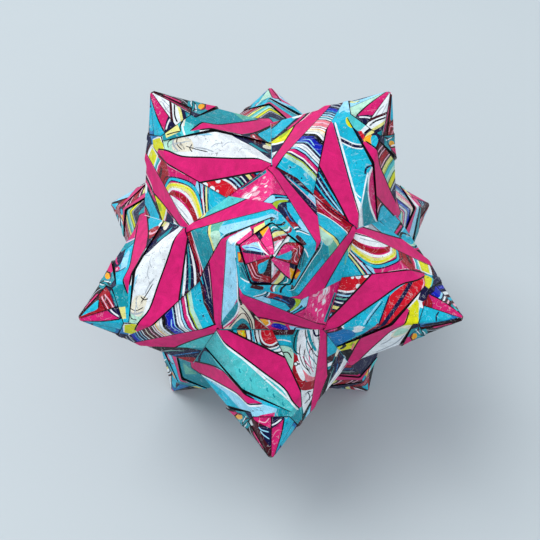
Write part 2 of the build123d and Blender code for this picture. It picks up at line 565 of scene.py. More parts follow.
# A marbled pink foot under cyan with a red zigzag
ZIGZAG = (
    ground(Ink.CYAN),
    patch(Ink.ROSE, (-16.4, 14.2), (-11, 15.2), (-6.4, 15.6), (-3.2, 8.5), (0, -0.6), (-15, -0.6),
          (-15.8, 6)),
    block(Ink.CRIMSON, (-17.6, 14.2), (-11.8, 14.4), (-12.4, 10.5), (-14, 7), (-15.6, -0.4)),
    patch(Ink.PALE_PINK, (-8.8, 8.9), (-6.9, 9.9), (-5.6, 8.2), (-3.9, 9.2), (-3.0, 5.6), (-4.8, 4.1),
          (-6.2, 5.2), (-8.2, 4.2), (-9.3, 6.0), (-7.8, 7.0)),
    patch(Ink.WHITE, (-6.2, 7.4), (-4.6, 8.2), (-3.6, 6.6), (-4.6, 5.2), (-5.8, 5.8)),
    patch(Ink.WHITE, (-8.6, 6.2), (-7.4, 6.4), (-7.2, 5.2), (-8.4, 4.8)),
    stroke(Ink.PALE_PINK, 0.8, (-7.2, 13.6), (-6.8, 11.4), (-5.4, 10.4)),
    stroke(Ink.PALE_PINK, 0.5, (-12.8, 6.4), (-11.4, 7.2), (-10.2, 5.2)),
    stroke(Ink.CRIMSON, 0.35, (-8.2, 8.2), (-6.4, 6.6), (-4.4, 6.9)),
    stroke(Ink.CRIMSON, 0.3, (-7.6, 5.2), (-5.8, 5.4), (-4.2, 4.9)),
    dot(Ink.WHITE, -11.0, 8.6, 0.55),
    dot(Ink.PALE_PINK, -12.2, 3.4, 0.6),
    dot(Ink.PALE_PINK, -9.8, 11.6, 0.5),
    patch(Ink.CRIMSON, (-9.4, 3.4), (-4.4, 3.4), (-2.2, 4.8), (0, -0.4), (-9.6, 0.9)),
    block(Ink.TEAL, (-14.2, -0.6), (-4.4, -0.6), (-4.6, 1.0), (-9, 1.3), (-13.8, 1.7)),
    stroke(Ink.NAVY, 0.5, (-13.4, 0.6), (-10, 0.5), (-5, 0.3)),
    block(Ink.NAVY, (-17.8, 13.8), (-12.3, 14.4), (-6.9, 15.6), (-8.4, 20), (-11, 18.8), (-17.4, 17)),
    stroke(Ink.SKY, 0.65, (-16.8, 15.8), (-12.6, 16.7), (-9.0, 18.9)),
    stroke(Ink.CYAN, 0.6, (-16.6, 14.7), (-12, 15.5), (-10, 16.6)),
    patch(Ink.SKY, (-11.3, 15.3), (-7.4, 16), (-8.4, 18.6), (-10.8, 17.6)),
    block(Ink.CYAN, (-19.4, 29), (-16, 28.6), (-14.6, 25), (-14.2, 21), (-15.3, 17.9), (-17.4, 17)),
    patch(Ink.SKY, (-19.2, 29.2), (-16.2, 29), (-15.8, 26.6), (-17.8, 24)),
    block(Ink.NAVY, (-16.6, 28.4), (-13.4, 28.6), (-11.3, 27), (-9.8, 24), (-8.6, 21.2), (-11, 19.8),
          (-13.5, 17.9), (-15.4, 17.1), (-14.2, 21), (-15.2, 25)),
    stroke(Ink.BLUE, 0.45, (-15.4, 27.6), (-13.6, 24.4), (-13.4, 20)),
    patch(Ink.DEEP_RED, (-15.8, 27.2), (-14.2, 27.8), (-12.6, 29.2), (-11.4, 27.2), (-12.1, 24.9),
          (-13.2, 23.8), (-13.0, 25.9), (-14.6, 26)),
    stroke(Ink.WHITE, 0.4, (-15.6, 27.8), (-14.2, 28.3), (-12.8, 29.6)),
    patch(Ink.LIME, (-16.2, 16.7), (-13, 18.1), (-11.2, 19.7), (-9.8, 22), (-8.7, 21.2), (-9.8, 19.0),
          (-12, 17.5), (-15.2, 16.2)),
    stroke(Ink.BLACK, 0.5, (-18.6, 29.9), (-15, 28.9), (-12.8, 30.0), (-11.4, 31.4)),
    stroke(Ink.WHITE, 0.5, (-18.8, 30.4), (-15, 29.6), (-13, 30.7), (-11.8, 32)),
    stroke(Ink.WHITE, 0.5, (-18.6, 38.6), (-16.8, 37.4), (-14.2, 36.6)),
    block(Ink.TEAL, (-18.8, 38.6), (-16.6, 37.6), (-13.8, 36.8), (-14.6, 43), (-17.4, 43)),
    stroke(Ink.NAVY, 0.6, (-15.7, 42.4), (-15.1, 40), (-14.5, 37)),
    stroke(Ink.NAVY, 0.4, (-16.9, 41.6), (-16.3, 39.4), (-15.6, 37.8)),
    block(Ink.DEEP_RED, (-17.4, 43), (-14.6, 42.6), (-14.9, 45.8), (-16.6, 46)),
    patch(Ink.AMBER, (-17.2, 43.4), (-16.0, 43.6), (-15.2, 45), (-16.2, 45.6)),
    # Painted shadow: the black band along the next arm's edge
    block(Ink.BLACK, (-14.6, 36.9), (-13.6, 34), (-11.4, 28), (-8.8, 21.6), (-8, 22), (-11.4, 31),
          (-14.2, 37)),
    block(Ink.NAVY, (-27.4, 17.2), (-25.8, 19.8), (-24.2, 17), (-21, 10), (-18.4, 5.2), (-16.6, 1.6),
          (-18.3, 1.2), (-20.6, 4.6), (-24, 9.6), (-26.6, 14.6)),
    stroke(Ink.CREAM, 0.5, (-25.2, 18.6), (-23, 14), (-21, 9.8), (-18, 4.2)),
    stroke(Ink.PALE_PINK, 0.5, (-27.9, 16.6), (-26.6, 14), (-23.8, 9.4), (-20.4, 4.8)),
    block(Ink.SKY, (-29.6, 11), (-27.9, 14.9), (-25.9, 11.6), (-27.6, 9.4)),
)

# The zigzag in deeper red, with an amber and blue corner
WARM_ZIGZAG = (
    *ZIGZAG,
    block(Ink.CRIMSON, (-29.6, 11), (-26.4, 20.6), (-20.4, 7.6), (-17, -0.4), (-24, 5)),
    patch(Ink.AMBER, (-28.2, 15.2), (-26.8, 18.8), (-25.2, 17.2), (-25.8, 14)),
    stroke(Ink.WHITE, 0.5, (-28.4, 14.2), (-26.4, 14.4), (-24.8, 16.6)),
    patch(Ink.ROYAL, (-27, 12.8), (-25, 13.8), (-23.4, 10.8), (-24.6, 7.6), (-26.2, 9.4)),
    stroke(Ink.LIME, 0.5, (-25.2, 14.4), (-23.8, 12.8), (-23.2, 10.4)),
    block(Ink.SKY, (-24.2, 6.6), (-22.6, 9.6), (-18.4, 2), (-20.4, 2.6)),
    stroke(Ink.NAVY, 0.5, (-23.4, 6), (-21.6, 7), (-19.8, 4)),
)


# A pale blue panel above white arcs and a dark centre
SKY_ARC = (
    ground(Ink.CRIMSON),
    block(Ink.MAROON, (-9.4, 23), (-3, 24), (0, -0.6), (-1, 1), (-6, 12)),
    block(Ink.SKY, (-20.6, 34), (-19.2, 41.5), (-16.8, 41.4), (-15.9, 35.5), (-13.7, 29.5), (-10.3, 18.5),
          (-11.5, 13), (-14.6, 4), (-15.2, 2), (-18, 18)),
    block(Ink.WHITE, (-20.2, 34), (-18.8, 41.4), (-16.8, 41.2), (-16.2, 36.4), (-17.6, 33.4)),
    patch(Ink.TEAL, (-10, 17.4), (-9.5, 14), (-10.5, 9.5), (-12.6, 5), (-14.4, 1.4), (-14.9, 3.6),
          (-13.7, 8), (-11.7, 13)),
    patch(Ink.CREAM, (-8.8, 16.4), (-6.8, 12), (-5.3, 6), (-5, -0.6), (-14, -0.6), (-12, 3.5), (-10, 9)),
    patch(Ink.TEAL, (-11.9, -0.6), (-10.7, 4), (-8.7, 7), (-7, 4.5), (-6.2, -0.6)),
    patch(Ink.MAROON, (-10.4, -0.6), (-9.4, 2.8), (-8.4, 3.6), (-7.4, 2.4), (-6.8, -0.6)),
    stroke(Ink.MAROON, 0.4, (-12.8, 0.8), (-10.6, 6.2), (-8.5, 10.4), (-7.0, 7), (-6.1, 0.4)),
    stroke(Ink.BLACK, 0.4, (-9, 14.2), (-7.3, 10), (-6.0, 5), (-5.6, 0)),
    # Painted shadow: the black block along the lower part of the next arm's edge
    block(Ink.BLACK, (-6.9, 12.8), (-5.2, 10.6), (0.2, -0.6), (-5, -0.6), (-5.2, 6)),
    block(Ink.DEEP_RED, (-4.9, 6.4), (-3.4, 4.4), (-0.8, -0.4), (-5, -0.4)),
    stroke(Ink.CREAM, 0.55, (-4.9, 8.6), (-3.5, 5.4), (-0.6, 0)),
    stroke(Ink.AMBER, 0.6, (-2.6, 5.2), (-1.8, 3.2), (-0.8, 1.2)),
    # Painted shadow: the black stroke and block along the next arm's edge
    stroke(Ink.BLACK, 0.9, (-15.4, 36), (-13, 30.2), (-9.7, 20), (-8.8, 15.4)),
    stroke(Ink.WHITE, 0.55, (-16.4, 36.4), (-13.7, 30), (-10.3, 19.5), (-9.5, 15), (-10.9, 8), (-14.8, 0.6)),
    block(Ink.BLACK, (-14.6, 31), (-13.4, 32), (-8.4, 22), (-9.6, 21)),
    block(Ink.CYAN, (-14.2, 30.6), (-12, 30.4), (-9.4, 25), (-12.2, 26)),
    block(Ink.MAROON, (-15.9, 35.8), (-13.9, 36.6), (-12.4, 31.5), (-14.6, 32)),
    block(Ink.ROSE, (-17.0, 41.2), (-14.2, 41.2), (-13.9, 36.6), (-15.6, 35.8), (-16.4, 38)),
    stroke(Ink.NAVY, 0.5, (-17.4, 41.8), (-16, 41.7), (-14.4, 41.0)),
    block(Ink.STRAW, (-17.4, 42.4), (-14.4, 41.6), (-14.8, 46), (-16.8, 46)),
    block(Ink.AQUA, (-17.4, 46), (-14.6, 45.6), (-14.6, 49), (-18, 49)),
    block(Ink.NAVY, (-27.8, 17), (-26.4, 20), (-23.4, 15), (-19.6, 6.8), (-17.8, 1.4), (-20, 2.8),
          (-25.5, 8.8), (-29.4, 11.6)),
    stroke(Ink.PALE_PINK, 0.5, (-26, 18.6), (-24, 14.6), (-21.8, 9.8), (-19.6, 5.2)),
    stroke(Ink.GREY, 0.4, (-28.2, 14.6), (-25.6, 11.4), (-22.6, 7.4)),
    stroke(Ink.CYAN, 0.9, (-28.9, 12.8), (-28.2, 11.4), (-27, 10.2)),
)


# Cyan with a yellow spot and a dark curl over a plum blob
CYAN_SPOT = (
    ground(Ink.CYAN),
    block(Ink.SKY, (-18.4, 40), (-18, 49), (-14, 49), (-13.9, 37.6), (-15.4, 38.4), (-16.6, 41)),
    patch(Ink.LEMON, (-15.7, 35.2), (-14.2, 35), (-13.4, 33.2), (-13.5, 31.9), (-14.8, 32), (-15.9, 33.4)),
    stroke(Ink.WHITE, 1.7, (-19.4, 29.1), (-16.5, 27.3), (-14, 26.0), (-11.2, 25.6)),
    stroke(Ink.NAVY, 0.9, (-19.4, 29.1), (-16.5, 27.3), (-14, 26.0), (-11.2, 25.6)),
    block(Ink.SCARLET, (-13, 31.6), (-12, 31.8), (-9.2, 25.2), (-10.5, 25.2)),
    stroke(Ink.AMBER, 0.5, (-13.0, 31.4), (-11.9, 29.2), (-10.9, 26.8)),
    patch(Ink.TEAL, (-11.4, 15.4), (-9.4, 15), (-8, 9), (-4, 3), (0.4, -0.6), (-10.5, -0.6), (-12, 3),
          (-13.2, 8)),
    patch(Ink.WHITE, (-15.9, 10), (-14.3, 8.4), (-13, 4), (-11.1, -0.6), (-15.6, -0.6)),
    stroke(Ink.WHITE, 0.5, (-10.8, 17.4), (-12, 14), (-13.4, 9), (-14.4, 5)),
    stroke(Ink.WHITE, 0.4, (-16.4, 14), (-15.2, 11), (-13.8, 9.6)),
    stroke(Ink.GREY, 0.5, (-13.4, 6.4), (-12.2, 3), (-11, 0)),
    patch(Ink.WHITE, (-9.6, 18.6), (-7.2, 18.4), (0.2, 0.4), (-4.2, 2.6), (-7.6, 6.2), (-10.4, 11),
          (-11.0, 15.4)),
    patch(Ink.CRIMSON, (-9, 17.6), (-7, 18), (-0.4, 1.4), (-3.8, 3.6), (-7, 6.9), (-9.6, 11.2),
          (-10.1, 15.2)),
    stroke(Ink.NAVY, 0.65, (-11.8, 17.0), (-11.2, 18.7), (-9.6, 19.5), (-8, 18.8)),
    stroke(Ink.SCARLET, 0.6, (-9.9, 23.6), (-9.1, 21.6), (-8.3, 20.6)),
    block(Ink.NAVY, (-26.4, 20.6), (-30, 11.4), (-24, 6.8), (-17, -0.4), (-19, 4.6), (-22.6, 12.6)),
    stroke(Ink.CYAN, 0.5, (-26.4, 18.6), (-23, 11.6), (-19.2, 4.0)),
    stroke(Ink.SKY, 0.45, (-27.2, 17), (-24, 11), (-20, 4.6)),
    stroke(Ink.CYAN, 0.5, (-28, 15.4), (-25, 10.4), (-21, 4.8)),
    stroke(Ink.DEEP_RED, 1.1, (-28.8, 13.4), (-24.6, 8.2), (-19, 2.6)),
    stroke(Ink.PALE_PINK, 0.6, (-29.2, 12.0), (-25.4, 8), (-20.4, 3.4)),
)


def striped(dark: bool = False) -> list[Mark]:
    """Bands of many inks across the arm, pink and white or plum above the blue ones.

    Args:
        dark: whether the upper bands are plum and not pink.

    Returns:
        The marks, in the order they are printed.
    """
    light_part = [
        (Ink.SALMON, 22.8), (Ink.PALE_PINK, 23.5), (Ink.SALMON, 24.6), (Ink.BLACK, 25.0), (Ink.WHITE, 25.5),
        (Ink.TEAL, 26.3), (Ink.WHITE, 26.7), (Ink.NAVY, 27.2), (Ink.SKY, 27.9),
    ]
    dark_part = [
        (Ink.MAROON, 22.4), (Ink.PALE_PINK, 22.8), (Ink.MAROON, 24.2), (Ink.CREAM, 24.6), (Ink.MAROON, 26.0),
        (Ink.WHITE, 26.4), (Ink.NAVY, 27.2), (Ink.SKY, 27.5),
    ]
    ends = [
        (Ink.MAROON, 0.8), (Ink.CYAN, 4.6), (Ink.PALE_GREEN, 5.9), (Ink.LIME, 6.3), (Ink.NAVY, 6.9),
        (Ink.WHITE, 7.4), (Ink.CRIMSON, 8.5), (Ink.NAVY, 8.9), (Ink.SKY, 9.5), (Ink.NAVY, 9.8),
        (Ink.WHITE, 10.5), (Ink.GREY, 10.9), (Ink.WHITE, 11.4), (Ink.NAVY, 12.2), (Ink.SKY, 12.6),
        (Ink.ROYAL, 15.6), (Ink.BLACK, 17.0), (Ink.WHITE, 17.8), (Ink.GREY, 18.1), (Ink.CREAM, 19.3),
        (Ink.AMBER, 19.7), (Ink.WHITE, 20.3), (Ink.DEEP_RED, 20.7), (Ink.WHITE, 21.2),
        *(dark_part if dark else light_part), (Ink.NAVY, 28.6), (Ink.SKY, 29.0), (Ink.NAVY, 29.5),
        (Ink.BLUE, 30.2),
        (Ink.ROYAL, 31.4), (Ink.NAVY, 32.4), (Ink.GREY, 32.8), (Ink.NAVY, 33.8), (Ink.GREY, 34.2),
        (Ink.MAROON, 36.0),
    ]
    right = [(x + 0.4, y) for x, y in STRIPE_RIGHT]
    return [
        ground(Ink.NAVY),
        *bands([(ink, y / 36) for ink, y in ends], STRIPE_LEFT, right),
        stroke(Ink.SKY, 0.35, (-15.6, 13.4), (-12, 14.2), (-9, 13.4)),
        stroke(Ink.NAVY, 0.4, (-14, 14.9), (-11, 15.4), (-7.6, 14.9)),
        dot(Ink.NAVY, -11.2, 3.2, 0.3),
        dot(Ink.NAVY, -6.4, 2.6, 0.25),
        # Painted shadow: the black band along the next arm's edge
        block(Ink.BLACK, (-14.9, 36), (-12.9, 30), (-9.4, 21), (-8, 21.6), (-13.6, 36.6)),
        block(Ink.CYAN, (-13.9, 33.8), (-12.4, 31), (-9.4, 23.6), (-8.4, 23), (-12.6, 34)),
        block(Ink.LEMON, (-26.4, 21), (-30, 11.2), (-25.6, 10.4), (-22.6, 12.6), (-24.2, 16.4)),
        patch(Ink.LIME, (-26.4, 18), (-27.6, 14.8), (-26.6, 13.4), (-25.6, 15)),
        stroke(Ink.WHITE, 1.1, (-28.2, 10), (-25.4, 10.6), (-22.4, 12.4)),
        block(Ink.NAVY, (-26.8, 9.0), (-23.2, 10.9), (-20.8, 7.2), (-22.8, 4.8)),
        block(Ink.WHITE, (-22.9, 5.4), (-20.6, 7.2), (-17, 0.2), (-18.6, 0.4)),
        stroke(Ink.GREY, 0.4, (-21.6, 5.6), (-19.6, 4), (-18.4, 1.6)),
    ]


# Bands of dark inks, with a yellow patch above and a teal corner
DARK_STRIPES = (
    *striped(dark=True),
    patch(Ink.LEMON, (-14.8, 33.4), (-13.2, 33.6), (-10.6, 26.6), (-12.4, 28.8)),
    block(Ink.AQUA, (-26.4, 21), (-30, 11.2), (-22, 3), (-17, -0.4), (-20.4, 7), (-24.2, 16.4)),
)


# Dark folds, partly painted shade, with a red corner and a teal one
NIGHT = (
    ground(Ink.NAVY),
    block(Ink.CRIMSON, (-10.4, 18), (-9.2, 23), (-3, 20), (-1.6, 5), (-5, 10)),
    # Painted shadow: the black block along the next arm's edge
    block(Ink.BLACK, (-12.4, 14), (-10.4, 18.4), (-6.4, 12), (-3.4, 6.4), (-2, 0), (-4.4, 2), (-7, 8)),
    stroke(Ink.GREY, 0.45, (-11.6, 12.4), (-9.4, 10.2), (-7.4, 6.6)),
    stroke(Ink.SEA_GREEN, 0.35, (-10.8, 11.2), (-8.6, 8.6), (-7, 5.2)),
    patch(Ink.DEEP_RED, (-17, -0.4), (-14.2, 5.6), (-12.4, 4.2), (-11.2, -0.4)),
    stroke(Ink.BLUE, 0.6, (-13.4, 8.4), (-9.4, 4.4), (-5.4, 0.6)),
    block(Ink.TEAL, (-3.6, 8.8), (-2.2, 6.4), (0.4, -0.6), (-3.4, -0.6), (-3.9, 4)),
)


# Dark folds, partly painted shade, beside pale marble
PALE_NIGHT = (
    *NIGHT,
    patch(Ink.WHITE, (-17, -0.6), (-13.6, 9), (-11.4, 13.4), (-10.4, 10), (-11.2, 3), (-10.6, -0.6)),
    stroke(Ink.GREY, 0.4, (-14.6, 1.4), (-13, 6), (-11.6, 10)),
    stroke(Ink.MAROON, 0.9, (-8.6, 3.2), (-6.4, 1.6), (-3.6, 0.8)),
    patch(Ink.CREAM, (-4.2, 2), (-2.6, 2.2), (-1, -0.4), (-3.6, -0.4)),
)


def rainbow() -> list[Mark]:
    """Arcs of many inks below a yellow block.

    Returns:
        The marks, in the order they are printed.
    """
    top = [(Ink.WHITE, 0.12), (Ink.MAROON, 0.3), (Ink.NAVY, 0.55), (Ink.GREY, 0.68), (Ink.MAROON, 0.85),
           (Ink.WHITE, 0.92), (Ink.NAVY, 1.0)]
    return [
        ground(Ink.CRIMSON),
        *bands(top, [(-20.2, 31.0), (-21.4, 36.0)], [(-13.8, 31.2), (-15.0, 37.0)]),
        block(Ink.DEEP_RED, (-18.8, 23.4), (-13.2, 23.6), (-11, 19), (-15, 16), (-18.4, 16.4)),
        stroke(Ink.MAROON, 1.5, (-18.6, 21.4), (-15.6, 21.8), (-13.4, 22.6)),
        stroke(Ink.MAROON, 0.5, (-17.8, 18.6), (-14.2, 18.6), (-11.2, 16.6)),
        block(Ink.DEEP_RED, (-14.2, 23.4), (-12, 24), (-9.6, 21.6), (-11.4, 17.4), (-13.2, 19)),
        *bands([(Ink.WHITE, 0.2), (Ink.TEAL, 0.45), (Ink.AQUA, 0.8), (Ink.LIME, 1.0)],
               [(-19.0, 23.8), (-19.4, 26.4)], [(-12.4, 24.0), (-13.4, 26.6)]),
        block(Ink.WHITE, (-20.0, 31.6), (-13.8, 31.4), (-12.9, 26.4), (-19.2, 25.9)),
        block(Ink.LEMON, (-19.4, 30.9), (-14.5, 30.9), (-13.5, 27.0), (-18.9, 26.5)),
        # Painted shadow: the black band along the next arm's edge
        block(Ink.BLACK, (-14.8, 33.6), (-13.6, 30.6), (-12.6, 25.6), (-10, 21), (-8.4, 21.6), (-13.2, 35)),
        block(Ink.MAROON, (-13.0, 28), (-9.6, 27), (-8.6, 22.4), (-9.9, 21.8), (-12.2, 25)),
        block(Ink.LEMON, (-14.9, 33.8), (-12.8, 34), (-9.4, 26.2), (-12.4, 29.4), (-14.2, 31.4)),
        stroke(Ink.NAVY, 0.4, (-17.4, 17.4), (-11.9, 16.9), (-8.4, 13.8), (-6.3, 9.8), (-6.8, 5.6),
               (-9.4, 0)),
        stroke(Ink.CYAN, 0.9, (-17.4, 16.9), (-12, 16.2), (-8.9, 13.3), (-6.9, 9.6), (-7.4, 5.8), (-10, 0)),
        stroke(Ink.NAVY, 0.35, (-17.4, 16.4), (-12, 15.6), (-9.3, 12.9), (-7.5, 9.5), (-7.9, 5.8),
               (-10.4, 0)),
        stroke(Ink.STRAW, 1.9, (-17.6, 15.5), (-14.2, 15.0), (-10.8, 12.7), (-8.5, 9.2), (-8.9, 5),
               (-10.9, -0.4)),
        stroke(Ink.LEMON, 0.6, (-17.4, 15.8), (-14.2, 15.3), (-10.6, 12.9), (-8.2, 9.2), (-8.6, 5),
               (-10.6, -0.4)),
        stroke(Ink.WHITE, 0.8, (-17.4, 14.4), (-13.6, 13.6), (-10.9, 11.2), (-9.8, 7.6), (-10.4, 3.4),
               (-11.8, -0.4)),
        stroke(Ink.DEEP_RED, 1.5, (-17.4, 13.5), (-14, 12.2), (-11.8, 9.6), (-11.1, 6), (-11.6, 2.4),
               (-12.6, -0.6)),
        patch(Ink.WHITE, (-17.0, 12.8), (-14.6, 11.2), (-12.7, 8), (-12.4, 3), (-13.4, -0.4), (-15, -0.4),
              (-15.6, 4)),
        stroke(Ink.GREY, 0.3, (-15.4, 9.6), (-14, 6), (-13.8, 2)),
        block(Ink.CYAN, (-9.4, -0.6), (-3.2, 8), (-2.4, 5.8), (0.4, -0.6)),
        stroke(Ink.WHITE, 0.4, (-9.2, -0.4), (-6.4, 4.6), (-3.9, 8.8)),
        stroke(Ink.BLACK, 0.5, (-8.7, -0.4), (-6.0, 4.2), (-3.5, 8)),
        stroke(Ink.STRAW, 0.5, (-8.2, -0.4), (-5.6, 3.8), (-3.2, 7.2)),
        stroke(Ink.NAVY, 0.35, (-7.7, -0.4), (-5.3, 3.4), (-3.0, 6.4)),
        block(Ink.SKY, (-6.2, 9), (-4.6, 10.4), (-3.6, 8.4), (-6.8, 4.4)),
        stroke(Ink.NAVY, 0.5, (-6.9, 5.2), (-5.4, 7.6), (-4.2, 10)),
        stroke(Ink.PALE_PINK, 0.7, (-9.6, 20.6), (-8.0, 17.6), (-6.2, 13.6)),
        block(Ink.LEMON, (-26.4, 21), (-30, 11.2), (-25.6, 10.8), (-22.6, 12.6), (-24.2, 16.4)),
        patch(Ink.LIME, (-26.8, 17), (-27.6, 14.6), (-26.2, 13.6), (-25.4, 15.6)),
        block(Ink.NAVY, (-27.2, 9.6), (-23.2, 11.2), (-20.8, 7.2), (-22.8, 4.8)),
        stroke(Ink.WHITE, 0.9, (-28, 10.6), (-25.6, 11.0), (-22.6, 11.8)),
        block(Ink.WHITE, (-22.9, 5.2), (-20.4, 7), (-17, 0.2), (-18.6, 0.4)),
        stroke(Ink.BLACK, 0.4, (-21.2, 6.4), (-19.6, 4), (-18.2, 1.6)),
    ]


# Arcs of many inks, with a cyan corner
BLUE_RAINBOW = (
    *rainbow(),
    block(Ink.CYAN, (-26.4, 21.4), (-30, 11.2), (-24.4, 6.4), (-22.4, 11), (-24.2, 16.4)),
    block(Ink.GREY, (-24.6, 6.4), (-22.8, 11.4), (-17, -0.4), (-19, 1)),
    stroke(Ink.MAROON, 0.6, (-24.4, 6.8), (-22.8, 9.2), (-22.4, 11.4)),
    stroke(Ink.WHITE, 0.8, (-22, 5.4), (-20.6, 4.8), (-18.6, 1.6)),
)


# White marbling with thin dark curves and a red band
MARBLE = (
    ground(Ink.TEAL),
    block(Ink.BLACK, (-20, 29), (-18.4, 30.4), (-16.6, 34), (-15.6, 37), (-14, 36), (-15.2, 31), (-19.2, 26)),
    block(Ink.SKY, (-20.2, 31.6), (-18.4, 34.8), (-17.2, 33.4), (-19.4, 29.6)),
    block(Ink.WHITE, (-15.4, 31.6), (-19.4, 26.4), (-19, 22.6), (-13.2, 21.6), (-9.4, 19.8), (-13, 27.5)),
    stroke(Ink.NAVY, 0.5, (-18.6, 25.2), (-16.4, 26.6), (-14.2, 27.2)),
    stroke(Ink.NAVY, 0.45, (-17.4, 27.2), (-16.2, 24.6), (-14.6, 23)),
    stroke(Ink.NAVY, 0.4, (-16.8, 23.6), (-14.8, 22.8), (-13.2, 23.2)),
    # Painted shadow: the black band along the next arm's edge
    block(Ink.BLACK, (-14.8, 31.8), (-9.2, 19.6), (-8.2, 20.8), (-13.9, 35)),
    block(Ink.MAROON, (-13.8, 30.6), (-9.8, 26), (-8.8, 21), (-10.4, 22.6)),
    patch(Ink.DEEP_RED, (-19, 22.8), (-13, 21.6), (-9, 19.6), (-7.4, 17), (-6.4, 12), (-6.8, 7.8),
          (-8.6, 9.6), (-9.2, 14), (-12, 18.0), (-18.6, 19.2)),
    patch(Ink.SALMON, (-18.4, 19.2), (-12, 17.8), (-9.4, 13.6), (-13, 14), (-18, 16.6)),
    patch(Ink.WHITE, (-18.0, 17.4), (-12.4, 15.6), (-9.2, 12), (-8.0, 6.4), (-9.4, -0.4), (-14.6, -0.4),
          (-15.6, 6)),
    patch(Ink.WHITE, (-10.6, 16.6), (-9.2, 16.4), (-7.6, 12.6), (-8.2, 10.4), (-9.6, 13)),
    stroke(Ink.BLACK, 0.35, (-17, 10.6), (-13.6, 8.2), (-11.2, 3.8), (-10.6, 0)),
    stroke(Ink.GREY, 0.4, (-15.6, 14.4), (-12.6, 12.2), (-10.4, 8)),
    stroke(Ink.CRIMSON, 0.3, (-13.6, 13.6), (-11.2, 11.4), (-9.8, 8.8)),
    *[stroke(ink, 0.28, (x, y), (x + 2.4, y - 2.6), (x + 3.6, y - 6.4), (x + 3.2, y - 9.4)) for ink, x, y in (
        (Ink.BLACK, -16.4, 13.2), (Ink.GREY, -16.8, 15), (Ink.CRIMSON, -15.4, 15.6), (Ink.BLACK, -13.8, 15.8),
        (Ink.GREY, -16.6, 9.4), (Ink.TEAL, -14.6, 11.6), (Ink.BLACK, -12.4, 14.4))],
    dot(Ink.BLACK, -7.6, 11.4, 0.75),
    dot(Ink.WHITE, -7.6, 11.4, 0.45),
    stroke(Ink.TEAL, 0.9, (-14, 7.2), (-12.4, 4.2), (-11.4, 0)),
    stroke(Ink.BLACK, 0.4, (-9, 8.4), (-7.2, 6.8), (-7.4, 3), (-8.6, 0)),
    stroke(Ink.NAVY, 0.6, (-15.2, 1.8), (-13.8, 2.2), (-13.0, 0)),
    dot(Ink.BLACK, -8.6, 11.4, 0.3),
    patch(Ink.PALE_GREEN, (-6.2, 13.4), (-3.8, 9.2), (-2.6, 5.6), (-6.2, 6.2), (-7, 9)),
    stroke(Ink.BLACK, 0.4, (-6.4, 9.6), (-5.2, 7.6), (-3.2, 7.8)),
    block(Ink.CYAN, (-6.6, 5.4), (-2.2, 5), (-1, 2.4), (-6, 2.4)),
    stroke(Ink.WHITE, 0.4, (-6.2, 4.2), (-4, 3.6), (-1.6, 3.6)),
    block(Ink.MAROON, (-6.8, 1.9), (-1, 2), (0.2, -0.6), (-8.2, -0.6)),
    block(Ink.CYAN, (-30, 12.6), (-23, 13), (-20.6, 7), (-18.6, 1.4), (-24, 5)),
    block(Ink.MAROON, (-29.4, 12.8), (-22.8, 12.6), (-23.8, 15.4), (-28.2, 15.6)),
    block(Ink.WHITE, (-28.2, 15.8), (-24, 15.6), (-24.8, 17), (-27.4, 17.2)),
    block(Ink.BLACK, (-27.6, 18.6), (-25, 18.2), (-26.4, 22)),
)


# The outer corner in red, with white drops and dark stripes
RED_DOTS = (
    block(Ink.SCARLET, (-26.4, 21.6), (-30.4, 11.4), (-25, 8), (-22.6, 13), (-23.6, 17)),
    dot(Ink.WHITE, -26.5, 18.8, 0.9),
    dot(Ink.WHITE, -27.2, 16.4, 0.9),
    dot(Ink.WHITE, -27.6, 14.6, 0.5),
    dot(Ink.WHITE, -24.3, 15.2, 0.8),
    block(Ink.NAVY, (-25.6, 8.6), (-24, 11.4), (-23.1, 14.8), (-20.4, 8), (-17.2, 0), (-19, 1)),
    stroke(Ink.WHITE, 0.6, (-25.8, 8.8), (-24.1, 11.4), (-23.3, 14.6)),
    stroke(Ink.SKY, 0.5, (-25, 7.8), (-23.2, 10.4), (-22.4, 12.8)),
    stroke(Ink.SEA_GREEN, 0.5, (-24.2, 7), (-22.6, 9.2), (-21.8, 11.4)),
    stroke(Ink.WHITE, 0.4, (-23.4, 6.2), (-21.8, 8.2), (-21, 9.8)),
    stroke(Ink.STRAW, 1.0, (-22.2, 4.8), (-20.8, 6.6), (-20, 8)),
    stroke(Ink.DEEP_RED, 0.6, (-21.2, 4), (-20, 5.6), (-19.2, 6.6)),
    stroke(Ink.CYAN, 1.0, (-20.2, 2.8), (-19.2, 4.2), (-18.4, 4.6)),
)


